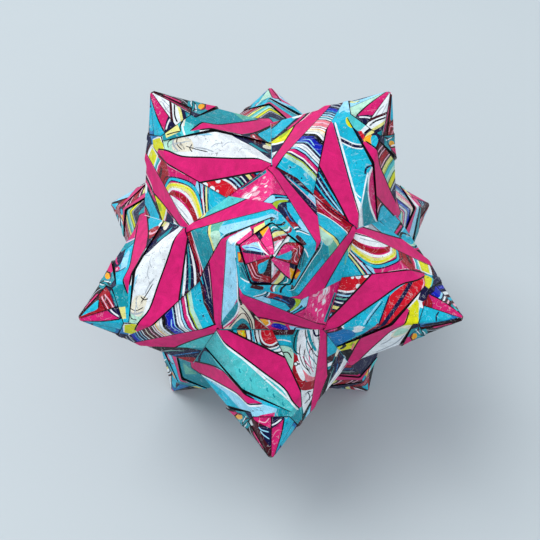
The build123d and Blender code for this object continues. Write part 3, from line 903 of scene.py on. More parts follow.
# White with a yellow tip and a dark corner
WHITE_LEAF = (
    ground(Ink.WHITE),
    block(Ink.BLUE, (-17.8, 42.4), (-16, 42.8), (-13.8, 36.4), (-14.2, 49), (-18, 49)),
    block(Ink.NAVY, (-18, 43.4), (-15.2, 44.6), (-14.2, 49), (-18, 49)),
    block(Ink.LEMON, (-18.8, 42.4), (-16.3, 42.8), (-14.6, 36.8), (-16.4, 35.0), (-18.4, 34.0), (-20, 37)),
    stroke(Ink.BLACK, 0.45, (-18.4, 33.4), (-16.2, 34.9), (-13.9, 36.2)),
    patch(Ink.PALE_GREEN, (-18.2, 33.4), (-14.4, 35), (-12.8, 31), (-15, 29.6), (-17.6, 29)),
    patch(Ink.CREAM, (-17.6, 31.4), (-14, 31.4), (-13, 27), (-15.2, 25.2), (-17, 26)),
    stroke(Ink.GREY, 0.5, (-17.6, 29.6), (-15.6, 31.8), (-12.6, 31.8)),
    stroke(Ink.BLACK, 0.3, (-17, 28.4), (-15.4, 30.6), (-12.8, 30.8)),
    stroke(Ink.BLACK, 0.35, (-17, 25.2), (-16, 26.2), (-14.6, 25.8)),
    stroke(Ink.GREY, 0.4, (-15.4, 24.6), (-15.2, 21.6), (-15.6, 18.6)),
    stroke(Ink.GREY, 0.5, (-11.2, 26.8), (-10.8, 24.6), (-11.2, 22.4)),
    block(Ink.SKY, (-12.4, 29), (-11.4, 30), (-9.6, 24), (-10.4, 20)),
    stroke(Ink.CRIMSON, 0.4, (-9.6, 23.4), (-9.2, 22)),
    *[stroke(Ink.GREY, 0.25, (x, y), (x + 1.4, y - 1.2), (x + 2.2, y - 3.6)) for x,
      y in ((-17, 33), (-16.6, 31.6), (-15.8, 29.8), (-14.4, 19.8), (-13.2, 16.2), (-12.4, 25.6),
            (-13.6, 11))],
    stroke(Ink.BLACK, 0.3, (-15.6, 27.6), (-15.9, 24), (-16.0, 20.4)),
    stroke(Ink.BLACK, 0.3, (-17.2, 33), (-15.4, 33.4), (-13.8, 31.8)),
    patch(Ink.NAVY, (-6.8, 13.6), (-4.6, 13), (0.4, -0.6), (-11.6, -0.6), (-8.6, 6)),
    block(Ink.TEAL, (-9, 4), (-7, 8), (-5.8, 7), (-8, 0.6)),
    patch(Ink.MAROON, (-4, 9.6), (-2.4, 6.4), (-2, 3.6), (-4.4, 4.4)),
    patch(Ink.CREAM, (-5.6, 2.8), (-3.2, 2.6), (-1, -0.4), (-4, -0.4)),
    block(Ink.STRAW, (-2.6, 1.8), (-1.2, 2.2), (0.2, -0.6), (-2.2, -0.6)),
    *RED_DOTS,
)


def swept_leaf() -> list[Mark]:
    """The white leaf, with stripes swept along the corner.

    Returns:
        The marks, in the order they are printed.
    """
    stripes = [(Ink.NAVY, 0), (Ink.TEAL, 1), (Ink.WHITE, 2), (Ink.NAVY, 3), (Ink.TEAL, 4), (Ink.NAVY, 5),
               (Ink.WHITE, 6), (Ink.MAROON, 7), (Ink.PALE_PINK, 8), (Ink.DEEP_RED, 9)]
    return [
        *WHITE_LEAF,
        block(Ink.MAROON, (-26.4, 21.6), (-30.4, 11.4), (-17, -0.6), (-20.4, 7.5), (-24.4, 17)),
        *[stroke(ink, 0.75, (-25.6 - 0.42 * n, 21.0 - 1.2 * n), (-23.0 - 0.38 * n, 14.6 - 0.86 * n),
                 (-18.2 - 0.1 * n, 2.6 - 0.1 * n))
          for ink, n in stripes],
    ]


def plain_teal() -> list[Mark]:
    """Pale teal, flecked, with rings of red and yellow in the corner.

    Returns:
        The marks, in the order they are printed.
    """
    flecks = [(-15.2, 31.6), (-14.9, 27.6), (-14.6, 24.8), (-12.6, 29.6), (-13, 18.8), (-12.4, 14.4),
              (-9.4, 20), (-6.4, 9)]
    return [
        ground(Ink.AQUA),
        block(Ink.TEAL, (-19, 38), (-18, 46), (-14.6, 46), (-13.8, 36), (-15.4, 38)),
        block(Ink.MAROON, (-17, 45.2), (-14.8, 45.2), (-14.2, 49), (-18, 49)),
        *[stroke(Ink.TEAL, 0.45, (x - 0.5, y - 0.5), (x, y), (x + 0.1, y + 0.8)) for x, y in flecks],
        stroke(Ink.WHITE, 0.6, (-18.0, 36), (-16.8, 25), (-15.8, 12), (-14.6, 3)),
        block(Ink.WHITE, (-26.4, 21.6), (-29, 15), (-23.6, 15), (-24.6, 19)),
        stroke(Ink.BLACK, 0.5, (-27.6, 18.2), (-26, 18.2), (-24.4, 17)),
        stroke(Ink.TEAL, 0.5, (-28, 16.8), (-26, 16.8), (-23.8, 15.8)),
        patch(Ink.MAROON, (-30.4, 11), (-28.2, 16), (-25, 15.6), (-23.2, 13.4), (-24, 10.6), (-27, 7.6)),
        patch(Ink.SCARLET, (-30.4, 11), (-28, 15), (-25.4, 14.6), (-24.4, 12.8), (-25, 10.6), (-27.2, 8.4)),
        stroke(Ink.WHITE, 0.5, (-27.8, 15.3), (-25.4, 14.8), (-24.2, 12.9), (-24.8, 10.5), (-26.4, 8.6)),
        block(Ink.WHITE, (-25.8, 8), (-23.4, 11.8), (-22.2, 10.8), (-20.6, 7.4), (-22.6, 5)),
        stroke(Ink.BLACK, 0.5, (-25, 7.6), (-23.6, 9.4), (-22.6, 11.6)),
        stroke(Ink.NAVY, 0.6, (-24, 6.6), (-22.8, 8.4), (-21.6, 10)),
        stroke(Ink.CYAN, 0.6, (-24.6, 7), (-23.2, 8.9), (-22.2, 10.6)),
        block(Ink.MAROON, (-23.4, 5), (-21.2, 8.6), (-19.4, 5.6), (-21.4, 3.4)),
        patch(Ink.AMBER, (-22.6, 5.2), (-21.2, 7.6), (-20.2, 6), (-20.8, 4.4)),
        patch(Ink.LEMON, (-22.2, 5.6), (-21.3, 7), (-20.8, 6)),
        block(Ink.CYAN, (-21.2, 3.4), (-19.4, 5.4), (-17, 0), (-18.6, 0.2)),
        stroke(Ink.BLACK, 0.4, (-20.4, 2.6), (-19.4, 3.6), (-18.6, 3.8)),
    ]


# Red and navy stripes above cyan with a white cloud
CLOUD = (
    ground(Ink.CYAN),
    block(Ink.NAVY, (-17.8, 43), (-16.4, 42.6), (-13.9, 36), (-14.2, 49), (-18, 49)),
    stroke(Ink.AQUA, 0.8, (-17.2, 43), (-15.6, 40), (-14.4, 36.4)),
    patch(Ink.SCARLET, (-19.6, 39.6), (-14.6, 34.8), (-11.2, 29.6), (-8.8, 22), (-7.6, 18.4),
          (-10.2, 16.2), (-13, 19.4), (-17.4, 23.6), (-19, 32)),
    patch(Ink.LEMON, (-18.8, 39), (-17.4, 42.2), (-16, 40.6), (-14.2, 36.4), (-11.8, 31), (-14.6, 34.0)),
    stroke(Ink.PALE_PINK, 0.45, (-18.8, 37.2), (-13.6, 32.3), (-11, 26), (-9, 20.2)),
    stroke(Ink.AMBER, 0.8, (-12.8, 32.6), (-11.4, 30), (-10.4, 27.4)),
    block(Ink.DEEP_RED, (-10.6, 19.4), (-7.6, 20.4), (0.2, -0.4), (-2, 3.4), (-6, 10.4), (-11, 16.2)),
    stroke(Ink.NAVY, 1.3, (-19.4, 32.6), (-15.0, 26.6), (-11.0, 20), (-7.0, 13.4), (-4, 7.4)),
    # Painted shadow: the black block along the next arm's edge
    block(Ink.BLACK, (-6.2, 11), (-5, 12.4), (0.4, -0.6), (-1.4, 1.6)),
    stroke(Ink.NAVY, 0.5, (-17.6, 23.4), (-13.4, 19.4), (-10, 16.2)),
    patch(Ink.BLUE, (-12.4, 6.4), (-6.8, 8.2), (-3.2, 4.4), (0, -0.6), (-13, -0.6)),
    patch(Ink.WHITE, (-12.8, 10.6), (-11.2, 12.2), (-9.8, 11), (-8.6, 10.8), (-8.4, 8.6), (-10.4, 7.9),
          (-11.4, 8.8), (-12.6, 8.8)),
    stroke(Ink.SKY, 0.6, (-17.0, 20), (-14.4, 15), (-12.4, 12)),
    stroke(Ink.NAVY, 0.3, (-16.6, 20.6), (-14, 15.6), (-12, 12.6)),
    patch(Ink.MAROON, (-15.6, 5), (-13.6, 5.6), (-12.2, 3), (-12.6, -0.4), (-15.2, -0.4)),
    patch(Ink.ROSE, (-14.8, 3.6), (-13.8, 3.8), (-13.2, 2), (-13.8, 0.6)),
    stroke(Ink.WHITE, 0.5, (-15.8, 7.6), (-14.8, 5.8), (-13.4, 6)),
    *RED_DOTS,
)


def ladder() -> list[Mark]:
    """Short straight stripes from plum up to yellow and teal.

    Returns:
        The marks, in the order they are printed.
    """
    ends = [
        (Ink.TEAL, 6.0), (Ink.NAVY, 12.2), (Ink.GREY, 13.2), (Ink.BLACK, 14.0), (Ink.LEMON, 16.4),
        (Ink.LIME, 16.9), (Ink.BLACK, 17.4), (Ink.PALE_GREEN, 19.4), (Ink.AQUA, 21.4), (Ink.TEAL, 22.2),
        (Ink.LIME, 23.0), (Ink.STRAW, 24.9), (Ink.BLACK, 26.0), (Ink.PALE_PINK, 26.7), (Ink.MAROON, 27.4),
        (Ink.DEEP_RED, 30.0), (Ink.MAROON, 30.5), (Ink.PALE_PINK, 31.1), (Ink.MAROON, 32.6),
        (Ink.PALE_PINK, 33.2), (Ink.MAROON, 36.0),
    ]
    return [
        ground(Ink.NAVY),
        *bands([(ink, y / 36) for ink, y in ends], STRIPE_LEFT, STRIPE_RIGHT),
        block(Ink.AQUA, (-18, 42), (-14.4, 41.8), (-14.4, 49), (-18, 49)),
        block(Ink.WHITE, (-18.4, 40.8), (-14.3, 40.6), (-14.4, 42), (-18, 42.2)),
        stroke(Ink.BLACK, 0.5, (-18.2, 40.4), (-16.2, 40.6), (-14.2, 40)),
        stroke(Ink.STRAW, 1.0, (-18.2, 39.2), (-16.2, 39.4), (-14.2, 38.8)),
        block(Ink.SCARLET, (-19.6, 38), (-18, 42.6), (-17, 41.8), (-18, 39)),
        patch(Ink.AMBER, (-19.8, 36.4), (-18.8, 39.6), (-15.8, 38.6), (-18.2, 36)),
        patch(Ink.CYAN, (-19, 35.2), (-16.6, 38.2), (-15, 37.4), (-16, 35.6)),
        block(Ink.TEAL, (-13.8, 34), (-12.8, 33.4), (-8.6, 24), (-10, 24.6)),
        block(Ink.CYAN, (-30, 11), (-28.4, 12.2), (-25, 14), (-22.4, 12.6), (-17, -0.4), (-22, 3)),
        stroke(Ink.BLACK, 0.9, (-29.4, 12.2), (-27.8, 13.2), (-25.6, 14.8), (-22.6, 13.8)),
        stroke(Ink.PALE_PINK, 0.7, (-28.6, 14.2), (-26.2, 15.5), (-23.4, 15)),
        block(Ink.DEEP_RED, (-28, 15.6), (-24, 16), (-26.2, 21.4)),
    ]


# Plain teal with a heavy dark line beside the wedge
DARK_TEAL = (
    ground(Ink.TEAL),
    block(Ink.AQUA, (-20, 38), (-19, 42), (-14.4, 42), (-14.2, 39), (-17.4, 37)),
    block(Ink.WHITE, (-20.2, 36.4), (-24.8, 21.4), (-26.6, 21.6), (-22, 36)),
    block(Ink.NAVY, (-24.8, 22.4), (-22.8, 14.6), (-24, 15.2), (-27.4, 17.6), (-26.6, 21)),
    stroke(Ink.WHITE, 0.6, (-19.2, 41), (-17.2, 40.6), (-14.4, 39.6)),
    stroke(Ink.BLACK, 0.5, (-17.2, 41.6), (-15.6, 40.8), (-14.3, 39.0)),
    stroke(Ink.CREAM, 0.5, (-16.2, 39.8), (-15.2, 39.2), (-14.2, 38.2)),
    block(Ink.STRAW, (-17.2, 41.6), (-14.6, 41.2), (-14.8, 46), (-16.6, 46.6)),
    stroke(Ink.BLACK, 0.4, (-17.2, 41.4), (-16.4, 43.6), (-15.8, 46)),
    block(Ink.SEA_GREEN, (-15.6, 14), (-10.6, 15), (-9, 10), (-14.6, 6)),
    block(Ink.CYAN, (-29.6, 11), (-28, 13), (-25, 14.4), (-22.4, 12), (-17, -0.4), (-22, 3)),
    stroke(Ink.BLACK, 1.2, (-25.6, 14.2), (-23.2, 13.4), (-20.6, 7), (-17.8, 0.6)),
    block(Ink.BLACK, (-29, 12.4), (-27.6, 15.2), (-24, 15.2), (-25.6, 13.4)),
    block(Ink.DEEP_RED, (-28.6, 14.6), (-23.6, 14.8), (-24.4, 17.4), (-26.8, 19.4)),
    stroke(Ink.PALE_PINK, 0.6, (-28.2, 15.6), (-26.6, 17), (-24.6, 16.2)),
    dot(Ink.WHITE, -25.4, 16.8, 0.5),
    dot(Ink.STRAW, -29.0, 11.6, 0.8),
)


# Pale cyan with a red splash over a navy patch
SPLASH = (
    ground(Ink.CYAN),
    block(Ink.TEAL, (-19.6, 36), (-18, 43), (-14.4, 43), (-13.8, 36), (-16, 35)),
    block(Ink.STRAW, (-17, 42.6), (-14.8, 42.4), (-14.8, 46.4), (-16.4, 46.4)),
    block(Ink.SKY, (-17.6, 28), (-14.6, 27.4), (-13.4, 22), (-15.4, 18), (-16.4, 20)),
    patch(Ink.CRIMSON, (-14, 27), (-10.4, 27.4), (-8.4, 22.4), (-11.6, 24), (-13, 25)),
    patch(Ink.PALE_PINK, (-13.2, 26.6), (-12, 26.4), (-12.2, 25)),
    patch(Ink.NAVY, (-13.4, 24.4), (-8.6, 23.4), (-7.6, 20.6), (-10.8, 13.4), (-13.2, 16.6)),
    stroke(Ink.CRIMSON, 0.6, (-12, 23.4), (-10.6, 21.4), (-9.8, 18.6)),
    stroke(Ink.NAVY, 0.5, (-17.2, 27.4), (-14.6, 27.8), (-11, 26.8)),
    stroke(Ink.BLACK, 0.5, (-16.6, 15.2), (-13.4, 17.2), (-11.2, 18)),
    block(Ink.TEAL, (-16.8, 13.4), (-10.4, 12.8), (-9.4, 16), (-12, 17), (-16.6, 15)),
    stroke(Ink.PALE_PINK, 0.7, (-16.4, 13.2), (-13, 13), (-9.8, 12.2)),
    block(Ink.CRIMSON, (-16.4, 12.6), (-9, 12), (0.4, -0.6), (-15, -0.6)),
    stroke(Ink.WHITE, 0.5, (-13.6, 9), (-10, 7.4), (-6.4, 8.2)),
    stroke(Ink.DEEP_RED, 1.0, (-13.6, 6), (-9, 4.6), (-4, 4.8)),
    stroke(Ink.NAVY, 0.5, (-13.6, 3.4), (-9, 2.4), (-3, 2.2)),
    block(Ink.WHITE, (-20.2, 36.4), (-24.8, 22.4), (-26.4, 22.6), (-22, 36)),
    block(Ink.NAVY, (-27.4, 18), (-26, 23), (-24, 22.4), (-23, 16.4)),
    patch(Ink.DEEP_RED, (-28.6, 16.6), (-24.4, 18), (-22.2, 13.4), (-25.4, 12.4), (-29, 14)),
    stroke(Ink.PALE_PINK, 0.9, (-28.2, 15.4), (-25.4, 15.8), (-23, 14.2)),
    patch(Ink.CYAN, (-28.4, 10.4), (-25.4, 12), (-21.8, 11.6), (-19.6, 5.4), (-20.4, 3), (-24, 5)),
    dot(Ink.WHITE, -28.4, 12.6, 1.3),
    dot(Ink.STRAW, -29.2, 11.3, 0.8),
    stroke(Ink.MAROON, 1.2, (-20.6, 5), (-19, 3.4), (-17.2, 0.4)),
)


# Plain pale blue with a dark ring in the corner
PALE_SKY = (
    ground(Ink.CYAN),
    block(Ink.SKY, (-20, 33), (-17.4, 44), (-15.6, 42.8), (-14, 36), (-12, 31), (-15, 20), (-14.8, 6),
          (-18, 20)),
    block(Ink.CRIMSON, (-16.2, 43), (-14.6, 43), (-13.8, 36.4), (-15, 39)),
    block(Ink.TEAL, (-17.6, 43.6), (-14.6, 43.4), (-14.4, 49), (-18, 49)),
    block(Ink.AQUA, (-26.4, 34), (-20.4, 33.4), (-24.1, 19.6), (-30, 11), (-28, 12)),
    block(Ink.TEAL, (-30, 11), (-24.4, 19.6), (-17, -0.4), (-24, 4)),
    stroke(Ink.NAVY, 1.3, (-28.6, 14.4), (-27.8, 10.8), (-24.6, 8), (-20.6, 6), (-18.6, 5.4)),
    stroke(Ink.BLACK, 0.9, (-28.4, 10.4), (-24, 5.8), (-19.8, 3.2)),
    stroke(Ink.DEEP_RED, 1.0, (-21.4, 2.6), (-19.4, 2.0), (-17.4, 0)),
)


# Pale grey and green under a yellow tip
GREY_GREEN = (
    ground(Ink.WHITE),
    stroke(Ink.GREY, 0.7, (-12.6, 27), (-11.4, 20), (-13.4, 12)),
    block(Ink.NAVY, (-17.4, 43), (-14.6, 43), (-14.4, 49), (-18, 49)),
    block(Ink.DEEP_RED, (-15.8, 42.6), (-14.6, 44.6), (-14.4, 41)),
    block(Ink.CYAN, (-15.8, 41), (-14.4, 41), (-13.6, 35.8), (-15, 37.4)),
    block(Ink.LEMON, (-19.6, 38.6), (-17.8, 43), (-16.6, 42), (-13.4, 34.6), (-18.4, 32.4)),
    patch(Ink.CREAM, (-18, 32.2), (-13.8, 34.2), (-12.2, 30), (-14.4, 24), (-17, 25.6)),
    patch(Ink.PALE_GREEN, (-17.6, 30.6), (-14.2, 31.2), (-13.6, 28), (-15.8, 25.4)),
    stroke(Ink.GREY, 0.6, (-15.6, 24.6), (-15, 21.6), (-15.6, 18)),
    stroke(Ink.NAVY, 0.7, (-11, 25.2), (-10.2, 23), (-9.2, 21)),
    stroke(Ink.ROYAL, 0.7, (-14.4, 7), (-13.8, 3), (-14.2, 0)),
    block(Ink.LEMON, (-26.4, 21.6), (-30, 11.2), (-25.6, 9.4), (-23, 13), (-24.2, 17)),
    stroke(Ink.BLACK, 1.3, (-29, 14.4), (-27.2, 13.4), (-26.8, 10.4)),
    stroke(Ink.LIME, 0.8, (-26.8, 19.4), (-26.2, 16.4), (-25, 14.2)),
    block(Ink.BLACK, (-26.4, 8.8), (-23.8, 11.8), (-22.4, 12.6), (-17, -0.4), (-20, 2.4)),
    stroke(Ink.GREY, 0.8, (-23.4, 6.6), (-21.4, 5), (-19.6, 2)),
    stroke(Ink.SALMON, 0.6, (-25.4, 16.4), (-24, 13.6), (-22.4, 11)),
)


# Cyan pools between dark lines
RIVER = (
    ground(Ink.CYAN),
    block(Ink.BLACK, (-12.2, 15.4), (-9.6, 19.6), (-7.4, 20), (0.4, -0.6), (-2.4, 0.4), (-3.6, 6),
          (-7.4, 13.4)),
    stroke(Ink.BLACK, 1.9, (-18, 3.4), (-14, 3.9), (-9, 5.4), (-3.4, 7.0)),
    stroke(Ink.CRIMSON, 0.8, (-13.4, 4.2), (-9, 5.3), (-4.4, 6.4)),
    stroke(Ink.SKY, 0.4, (-14.8, 5.2), (-10.6, 6.2), (-6.6, 7.2)),
    stroke(Ink.BLACK, 0.9, (-15, 9.8), (-12.2, 8.6), (-9.4, 6.9), (-5.8, 8.0), (-3.6, 8.4)),
    stroke(Ink.BLACK, 0.6, (-14.4, 11.2), (-11.4, 13.1), (-8.2, 13.2), (-5.4, 10.4), (-4.6, 8.4)),
    stroke(Ink.PALE_GREEN, 0.9, (-14.4, 10.2), (-11.2, 12.2), (-8.2, 12.4), (-6.2, 10.6)),
    stroke(Ink.CRIMSON, 0.8, (-13, 13.6), (-10.4, 14.4), (-7.8, 14)),
    stroke(Ink.BLACK, 0.5, (-12.6, 14.8), (-10, 15.2), (-8, 16.4)),
    block(Ink.CRIMSON, (-10.4, 18), (-9.2, 22), (-6, 20), (-3, 8), (-4.8, 10.4), (-8.2, 16.6)),
)


# Slanted dark ribbons above cyan
RIBBON = (
    ground(Ink.CYAN),
    block(Ink.BLACK, (-13.4, 12), (-11, 17.4), (-4, 9), (-2, 2), (-3.2, 0.8)),
    block(Ink.CRIMSON, (-11.2, 17), (-9.4, 23), (-4, 20), (-2.6, 8), (-5, 9.4)),
    stroke(Ink.PALE_PINK, 0.6, (-11.2, 15.8), (-8, 12.6), (-5, 8.8)),
    stroke(Ink.CRIMSON, 1.3, (-12.6, 13.4), (-9, 10.6), (-5.4, 6)),
    stroke(Ink.NAVY, 0.8, (-13.2, 12.2), (-9, 8.8), (-4, 1.6)),
    patch(Ink.WHITE, (-14, 11.4), (-12.4, 12.2), (-10.6, 11), (-12, 8.2), (-14.6, 8.4)),
    block(Ink.DEEP_RED, (-17.6, -0.6), (-15.6, 4.6), (-11.8, -0.6)),
    stroke(Ink.BLACK, 0.8, (-15.8, 4.6), (-13.6, 2.6), (-11.2, -0.2)),
    # Painted shadow: the black block along the next arm's edge
    block(Ink.BLACK, (-4.4, 10), (-2.8, 9), (-0.6, -0.6), (-3.8, -0.6), (-4, 4)),
    block(Ink.STRAW, (-2.6, 8), (-1.6, 6), (0.4, -0.6), (-1.4, -0.4), (-2, 3)),
    stroke(Ink.LIME, 0.5, (-2.4, 6.4), (-1.6, 3.6), (-0.8, 0.4)),
)


# Dark red with wavy pale lines and a cyan wedge
CAP_RED = (
    cap_ground(Ink.DEEP_RED),
    stroke(Ink.PALE_PINK, 0.35, (-8.6, 32.4), (-6.8, 33.4), (-5, 31.6), (-3.4, 32.4)),
    stroke(Ink.MAROON, 0.6, (-8, 31.2), (-6.4, 31.8), (-4.6, 30.2)),
    stroke(Ink.PALE_PINK, 0.3, (-7.4, 30.2), (-5.8, 30.6), (-4.2, 29.2)),
    stroke(Ink.MAROON, 0.5, (-7.4, 35.2), (-5.6, 34.4), (-4, 33.4)),
    patch(Ink.CYAN, (-5.8, 35.4), (-4.4, 34.2), (-2.8, 34.4), (-1.6, 37.6), (-1.0, 41.6), (-3.4, 38.8)),
    block(Ink.CRIMSON, (-1.2, 41), (-3.2, 35), (-3.6, 31), (-0.9, 33.4), (-0.8, 38)),
    block(Ink.WHITE, (-0.7, 42.6), (-0.8, 33), (-3.4, 28.4), (0.6, 28.4), (0.6, 42.6)),
    block(Ink.AQUA, (-3.4, 28.4), (-1.4, 31.2), (-1.0, 28.4)),
    stroke(Ink.BLACK, 0.4, (-0.9, 42.6), (-0.8, 33.2), (-3.6, 28.6)),
)


# Grey marble over slanted bands, with the wedge
CAP_MARBLE = (
    cap_ground(Ink.GREY),
    stroke(Ink.WHITE, 0.7, (-6.2, 35.8), (-4, 38), (-1.8, 40.6)),
    stroke(Ink.PALE_PINK, 0.5, (-7, 34.6), (-4.6, 36.6), (-2.4, 38.6)),
    block(Ink.DEEP_RED, (-10.4, 32.2), (-9.4, 33.6), (-3, 36.8), (-2.6, 35.8), (-6, 33.8)),
    block(Ink.STRAW, (-9.4, 31.8), (-6, 33.6), (-2.8, 35.4), (-3.4, 33.6), (-6, 32), (-8.6, 31)),
    block(Ink.TEAL, (-8.8, 31), (-5.6, 31.8), (-3.4, 33.2), (-4.4, 28), (-6.6, 28)),
    stroke(Ink.BLACK, 0.5, (-8.4, 31), (-5.8, 31.6), (-3.6, 33)),
    stroke(Ink.WHITE, 0.4, (-6.8, 30.4), (-5.4, 30.2), (-4.2, 31)),
    block(Ink.ROSE, (-0.6, 43.6), (-1.8, 40), (-3.4, 34), (-4.2, 29.6), (-1.2, 32), (0.6, 32), (0.6, 43.6)),
    block(Ink.AMBER, (-4.2, 29.4), (-1.2, 31.8), (-1.4, 28), (-3.8, 28)),
    block(Ink.NAVY, (-1.2, 32), (0.6, 33), (0.6, 28), (-1.4, 28)),
    stroke(Ink.BLACK, 0.4, (-1.9, 40.2), (-3.5, 34), (-4.3, 29.6)),
)


# Pink with a pale blue streak
CAP_LILAC = (
    cap_ground(Ink.CRIMSON),
    patch(Ink.SKY, (-6.2, 34.6), (-3.4, 37.6), (-1.4, 39.4), (-3.0, 33), (-5, 29.4), (-5.6, 32)),
    stroke(Ink.NAVY, 0.9, (-1.0, 40.4), (-2.4, 35), (-3.8, 29)),
    stroke(Ink.ROYAL, 0.3, (-2.8, 37.8), (-4, 34.6), (-4.6, 31)),
    stroke(Ink.GREY, 0.4, (-3.8, 36.8), (-5, 34), (-5.4, 31)),
    stroke(Ink.WHITE, 0.4, (-0.6, 41.6), (-3.4, 37.9), (-6.4, 35)),
    stroke(Ink.NAVY, 0.5, (-9.6, 32.6), (-8.6, 32.2)),
)


# Deep red with pale lines, a cyan blade and a navy foot
CAP_CYAN = (
    cap_ground(Ink.DEEP_RED),
    block(Ink.NAVY, (-10, 33), (-9.2, 33.4), (-5, 29.8), (0.6, 28.8), (0.6, 28), (-8, 28)),
    stroke(Ink.TEAL, 0.6, (-9.4, 32.6), (-7, 30.4), (-5, 29.2)),
    *[stroke(ink, 0.4, (-9.2 + n, 33.4 + n), (-6.2 + 0.8 * n, 31.8 + n), (-3.4 + 0.5 * n, 31 + 0.8 * n))
      for ink, n in ((Ink.PALE_PINK, 0.2), (Ink.MAROON, 0.8), (Ink.PALE_PINK, 1.5), (Ink.MAROON, 2.1))],
    patch(Ink.CYAN, (-4.4, 36.4), (-3.2, 34.0), (-2.0, 34.6), (-1.0, 38), (-0.5, 41.6), (-2.6, 39)),
    block(Ink.MAROON, (-0.6, 42), (-1.2, 36.6), (-2.0, 33), (0.6, 32), (0.6, 42)),
    stroke(Ink.BLACK, 0.4, (-0.7, 41.6), (-1.2, 36.6), (-2.2, 33)),
    stroke(Ink.BLACK, 0.4, (-4.6, 36.2), (-3.2, 33.8), (-2, 34.2)),
)


def cap_pale(under: Ink = Ink.CYAN) -> list[Mark]:
    """A plain ground with the wedge and a dark corner.

    Args:
        under: the ink of the ground.

    Returns:
        The marks, in the order they are printed.
    """
    return [
        cap_ground(under),
        block(Ink.CRIMSON, (-0.6, 43.4), (-1.9, 40), (-3.2, 34), (-4.0, 29), (-1.6, 31.4), (0.6, 32.6),
              (0.6, 43.4)),
        stroke(Ink.BLACK, 0.45, (-1.4, 41.6), (-2.0, 39.4), (-3.3, 34), (-4.1, 29)),
        stroke(Ink.MAROON, 0.6, (-3.6, 40), (-1.4, 42.2)),
        block(Ink.NAVY, (-4.2, 29.2), (-1.6, 31.6), (0.6, 33), (0.6, 28), (-4, 28)),
        stroke(Ink.WHITE, 0.5, (-3.2, 29.4), (-1.4, 30.8), (0.4, 31.6)),
    ]


def cap_ice() -> list[Mark]:
    """The plain cap on very pale green."""
    return cap_pale(Ink.PALE_GREEN)


# Teal with a dark line across and a plum side
CAP_TEAL = (
    cap_ground(Ink.BLUE),
    patch(Ink.CYAN, (-4.6, 35.4), (-2.2, 37), (0.2, 36.6), (0.4, 31), (-3.8, 30)),
    block(Ink.MAROON, (-6.4, 28), (-3.6, 36), (-3.2, 34), (-4.4, 28)),
    stroke(Ink.NAVY, 0.7, (-6, 29), (-4.4, 33), (-3.0, 36.4)),
    stroke(Ink.NAVY, 0.5, (-3.2, 37.8), (-1.4, 37.7), (0.4, 37.4)),
    block(Ink.CRIMSON, (-1.2, 42.4), (-1.0, 40.6), (0.4, 39.6), (0.4, 43.4)),
)


# Pale blue with a dark side
CAP_FROST = (
    cap_ground(Ink.SKY),
    stroke(Ink.NAVY, 0.9, (-5.6, 28.6), (-3.4, 33), (-2.0, 38.6)),
    stroke(Ink.MAROON, 0.6, (-2.4, 38.6), (-0.6, 42.6)),
    stroke(Ink.STRAW, 0.7, (-5, 28.8), (-3.2, 30.2), (-2.6, 32)),
)


# Black and plum with a cyan foot
CAP_DARK = (
    cap_ground(Ink.BLACK),
    block(Ink.CRIMSON, (-8, 35), (-3.4, 40), (-2.4, 39), (-5.4, 34.6)),
    stroke(Ink.MAROON, 1.2, (-6.8, 33.2), (-4, 36.2), (-1.6, 40)),
    stroke(Ink.GREY, 0.4, (-8.2, 32.6), (-5, 33.4), (-2.4, 38.4)),
    block(Ink.TEAL, (-10, 32.8), (-9, 33.6), (-6, 31.2), (-5.4, 28), (-8, 28)),
    stroke(Ink.WHITE, 0.35, (-8.8, 31.6), (-7, 30.6), (-5.8, 29.4)),
)


# Cyan between a plum edge and a black one
CAP_POOL = (
    cap_ground(Ink.BLUE),
    patch(Ink.CYAN, (-9.6, 32.6), (-5, 37.6), (-2.6, 39), (-3, 34), (-4.6, 28.6), (-7, 28.8)),
    stroke(Ink.MAROON, 0.7, (-9.6, 33.2), (-5.4, 37.8), (-1, 42.6)),
    stroke(Ink.BLACK, 1.5, (-0.8, 42), (-1.6, 36), (-2.6, 29)),
    block(Ink.MAROON, (-0.4, 42), (-0.8, 36), (-1.8, 28), (0.6, 28), (0.6, 42)),
    stroke(Ink.NAVY, 0.5, (-6, 36), (-5, 34.6), (-3.2, 34)),
)


# White marble with a few dark bands in the corner
CAP_WHITE = (
    cap_ground(Ink.WHITE),
    stroke(Ink.GREY, 0.4, (-6.6, 34.4), (-5, 36.6), (-3.2, 38.2)),
    stroke(Ink.GREY, 0.3, (-4.4, 35.2), (-3.2, 37), (-2, 38.8)),
    stroke(Ink.MAROON, 0.8, (-9.6, 33.2), (-6.8, 34.4), (-1.4, 36)),
    stroke(Ink.BLACK, 0.5, (-8.6, 32), (-6.4, 33.4), (-2.4, 34.4)),
    block(Ink.STRAW, (-8.4, 30.8), (-4, 33), (-2.6, 33.6), (-3.2, 32.2), (-7, 30)),
    block(Ink.NAVY, (-7.4, 30.4), (-4, 31.9), (-3, 32.4), (-4, 28), (-6.6, 28)),
    block(Ink.TEAL, (-6.4, 29.6), (-4.4, 30.4), (-4.4, 28), (-6.4, 28)),
    block(Ink.MAROON, (-0.6, 43), (-2.4, 34.6), (-3.6, 28.6), (0.6, 28.6), (0.6, 43)),
    stroke(Ink.CRIMSON, 0.5, (-0.8, 38), (-1.6, 33), (-2.6, 29.6)),
)


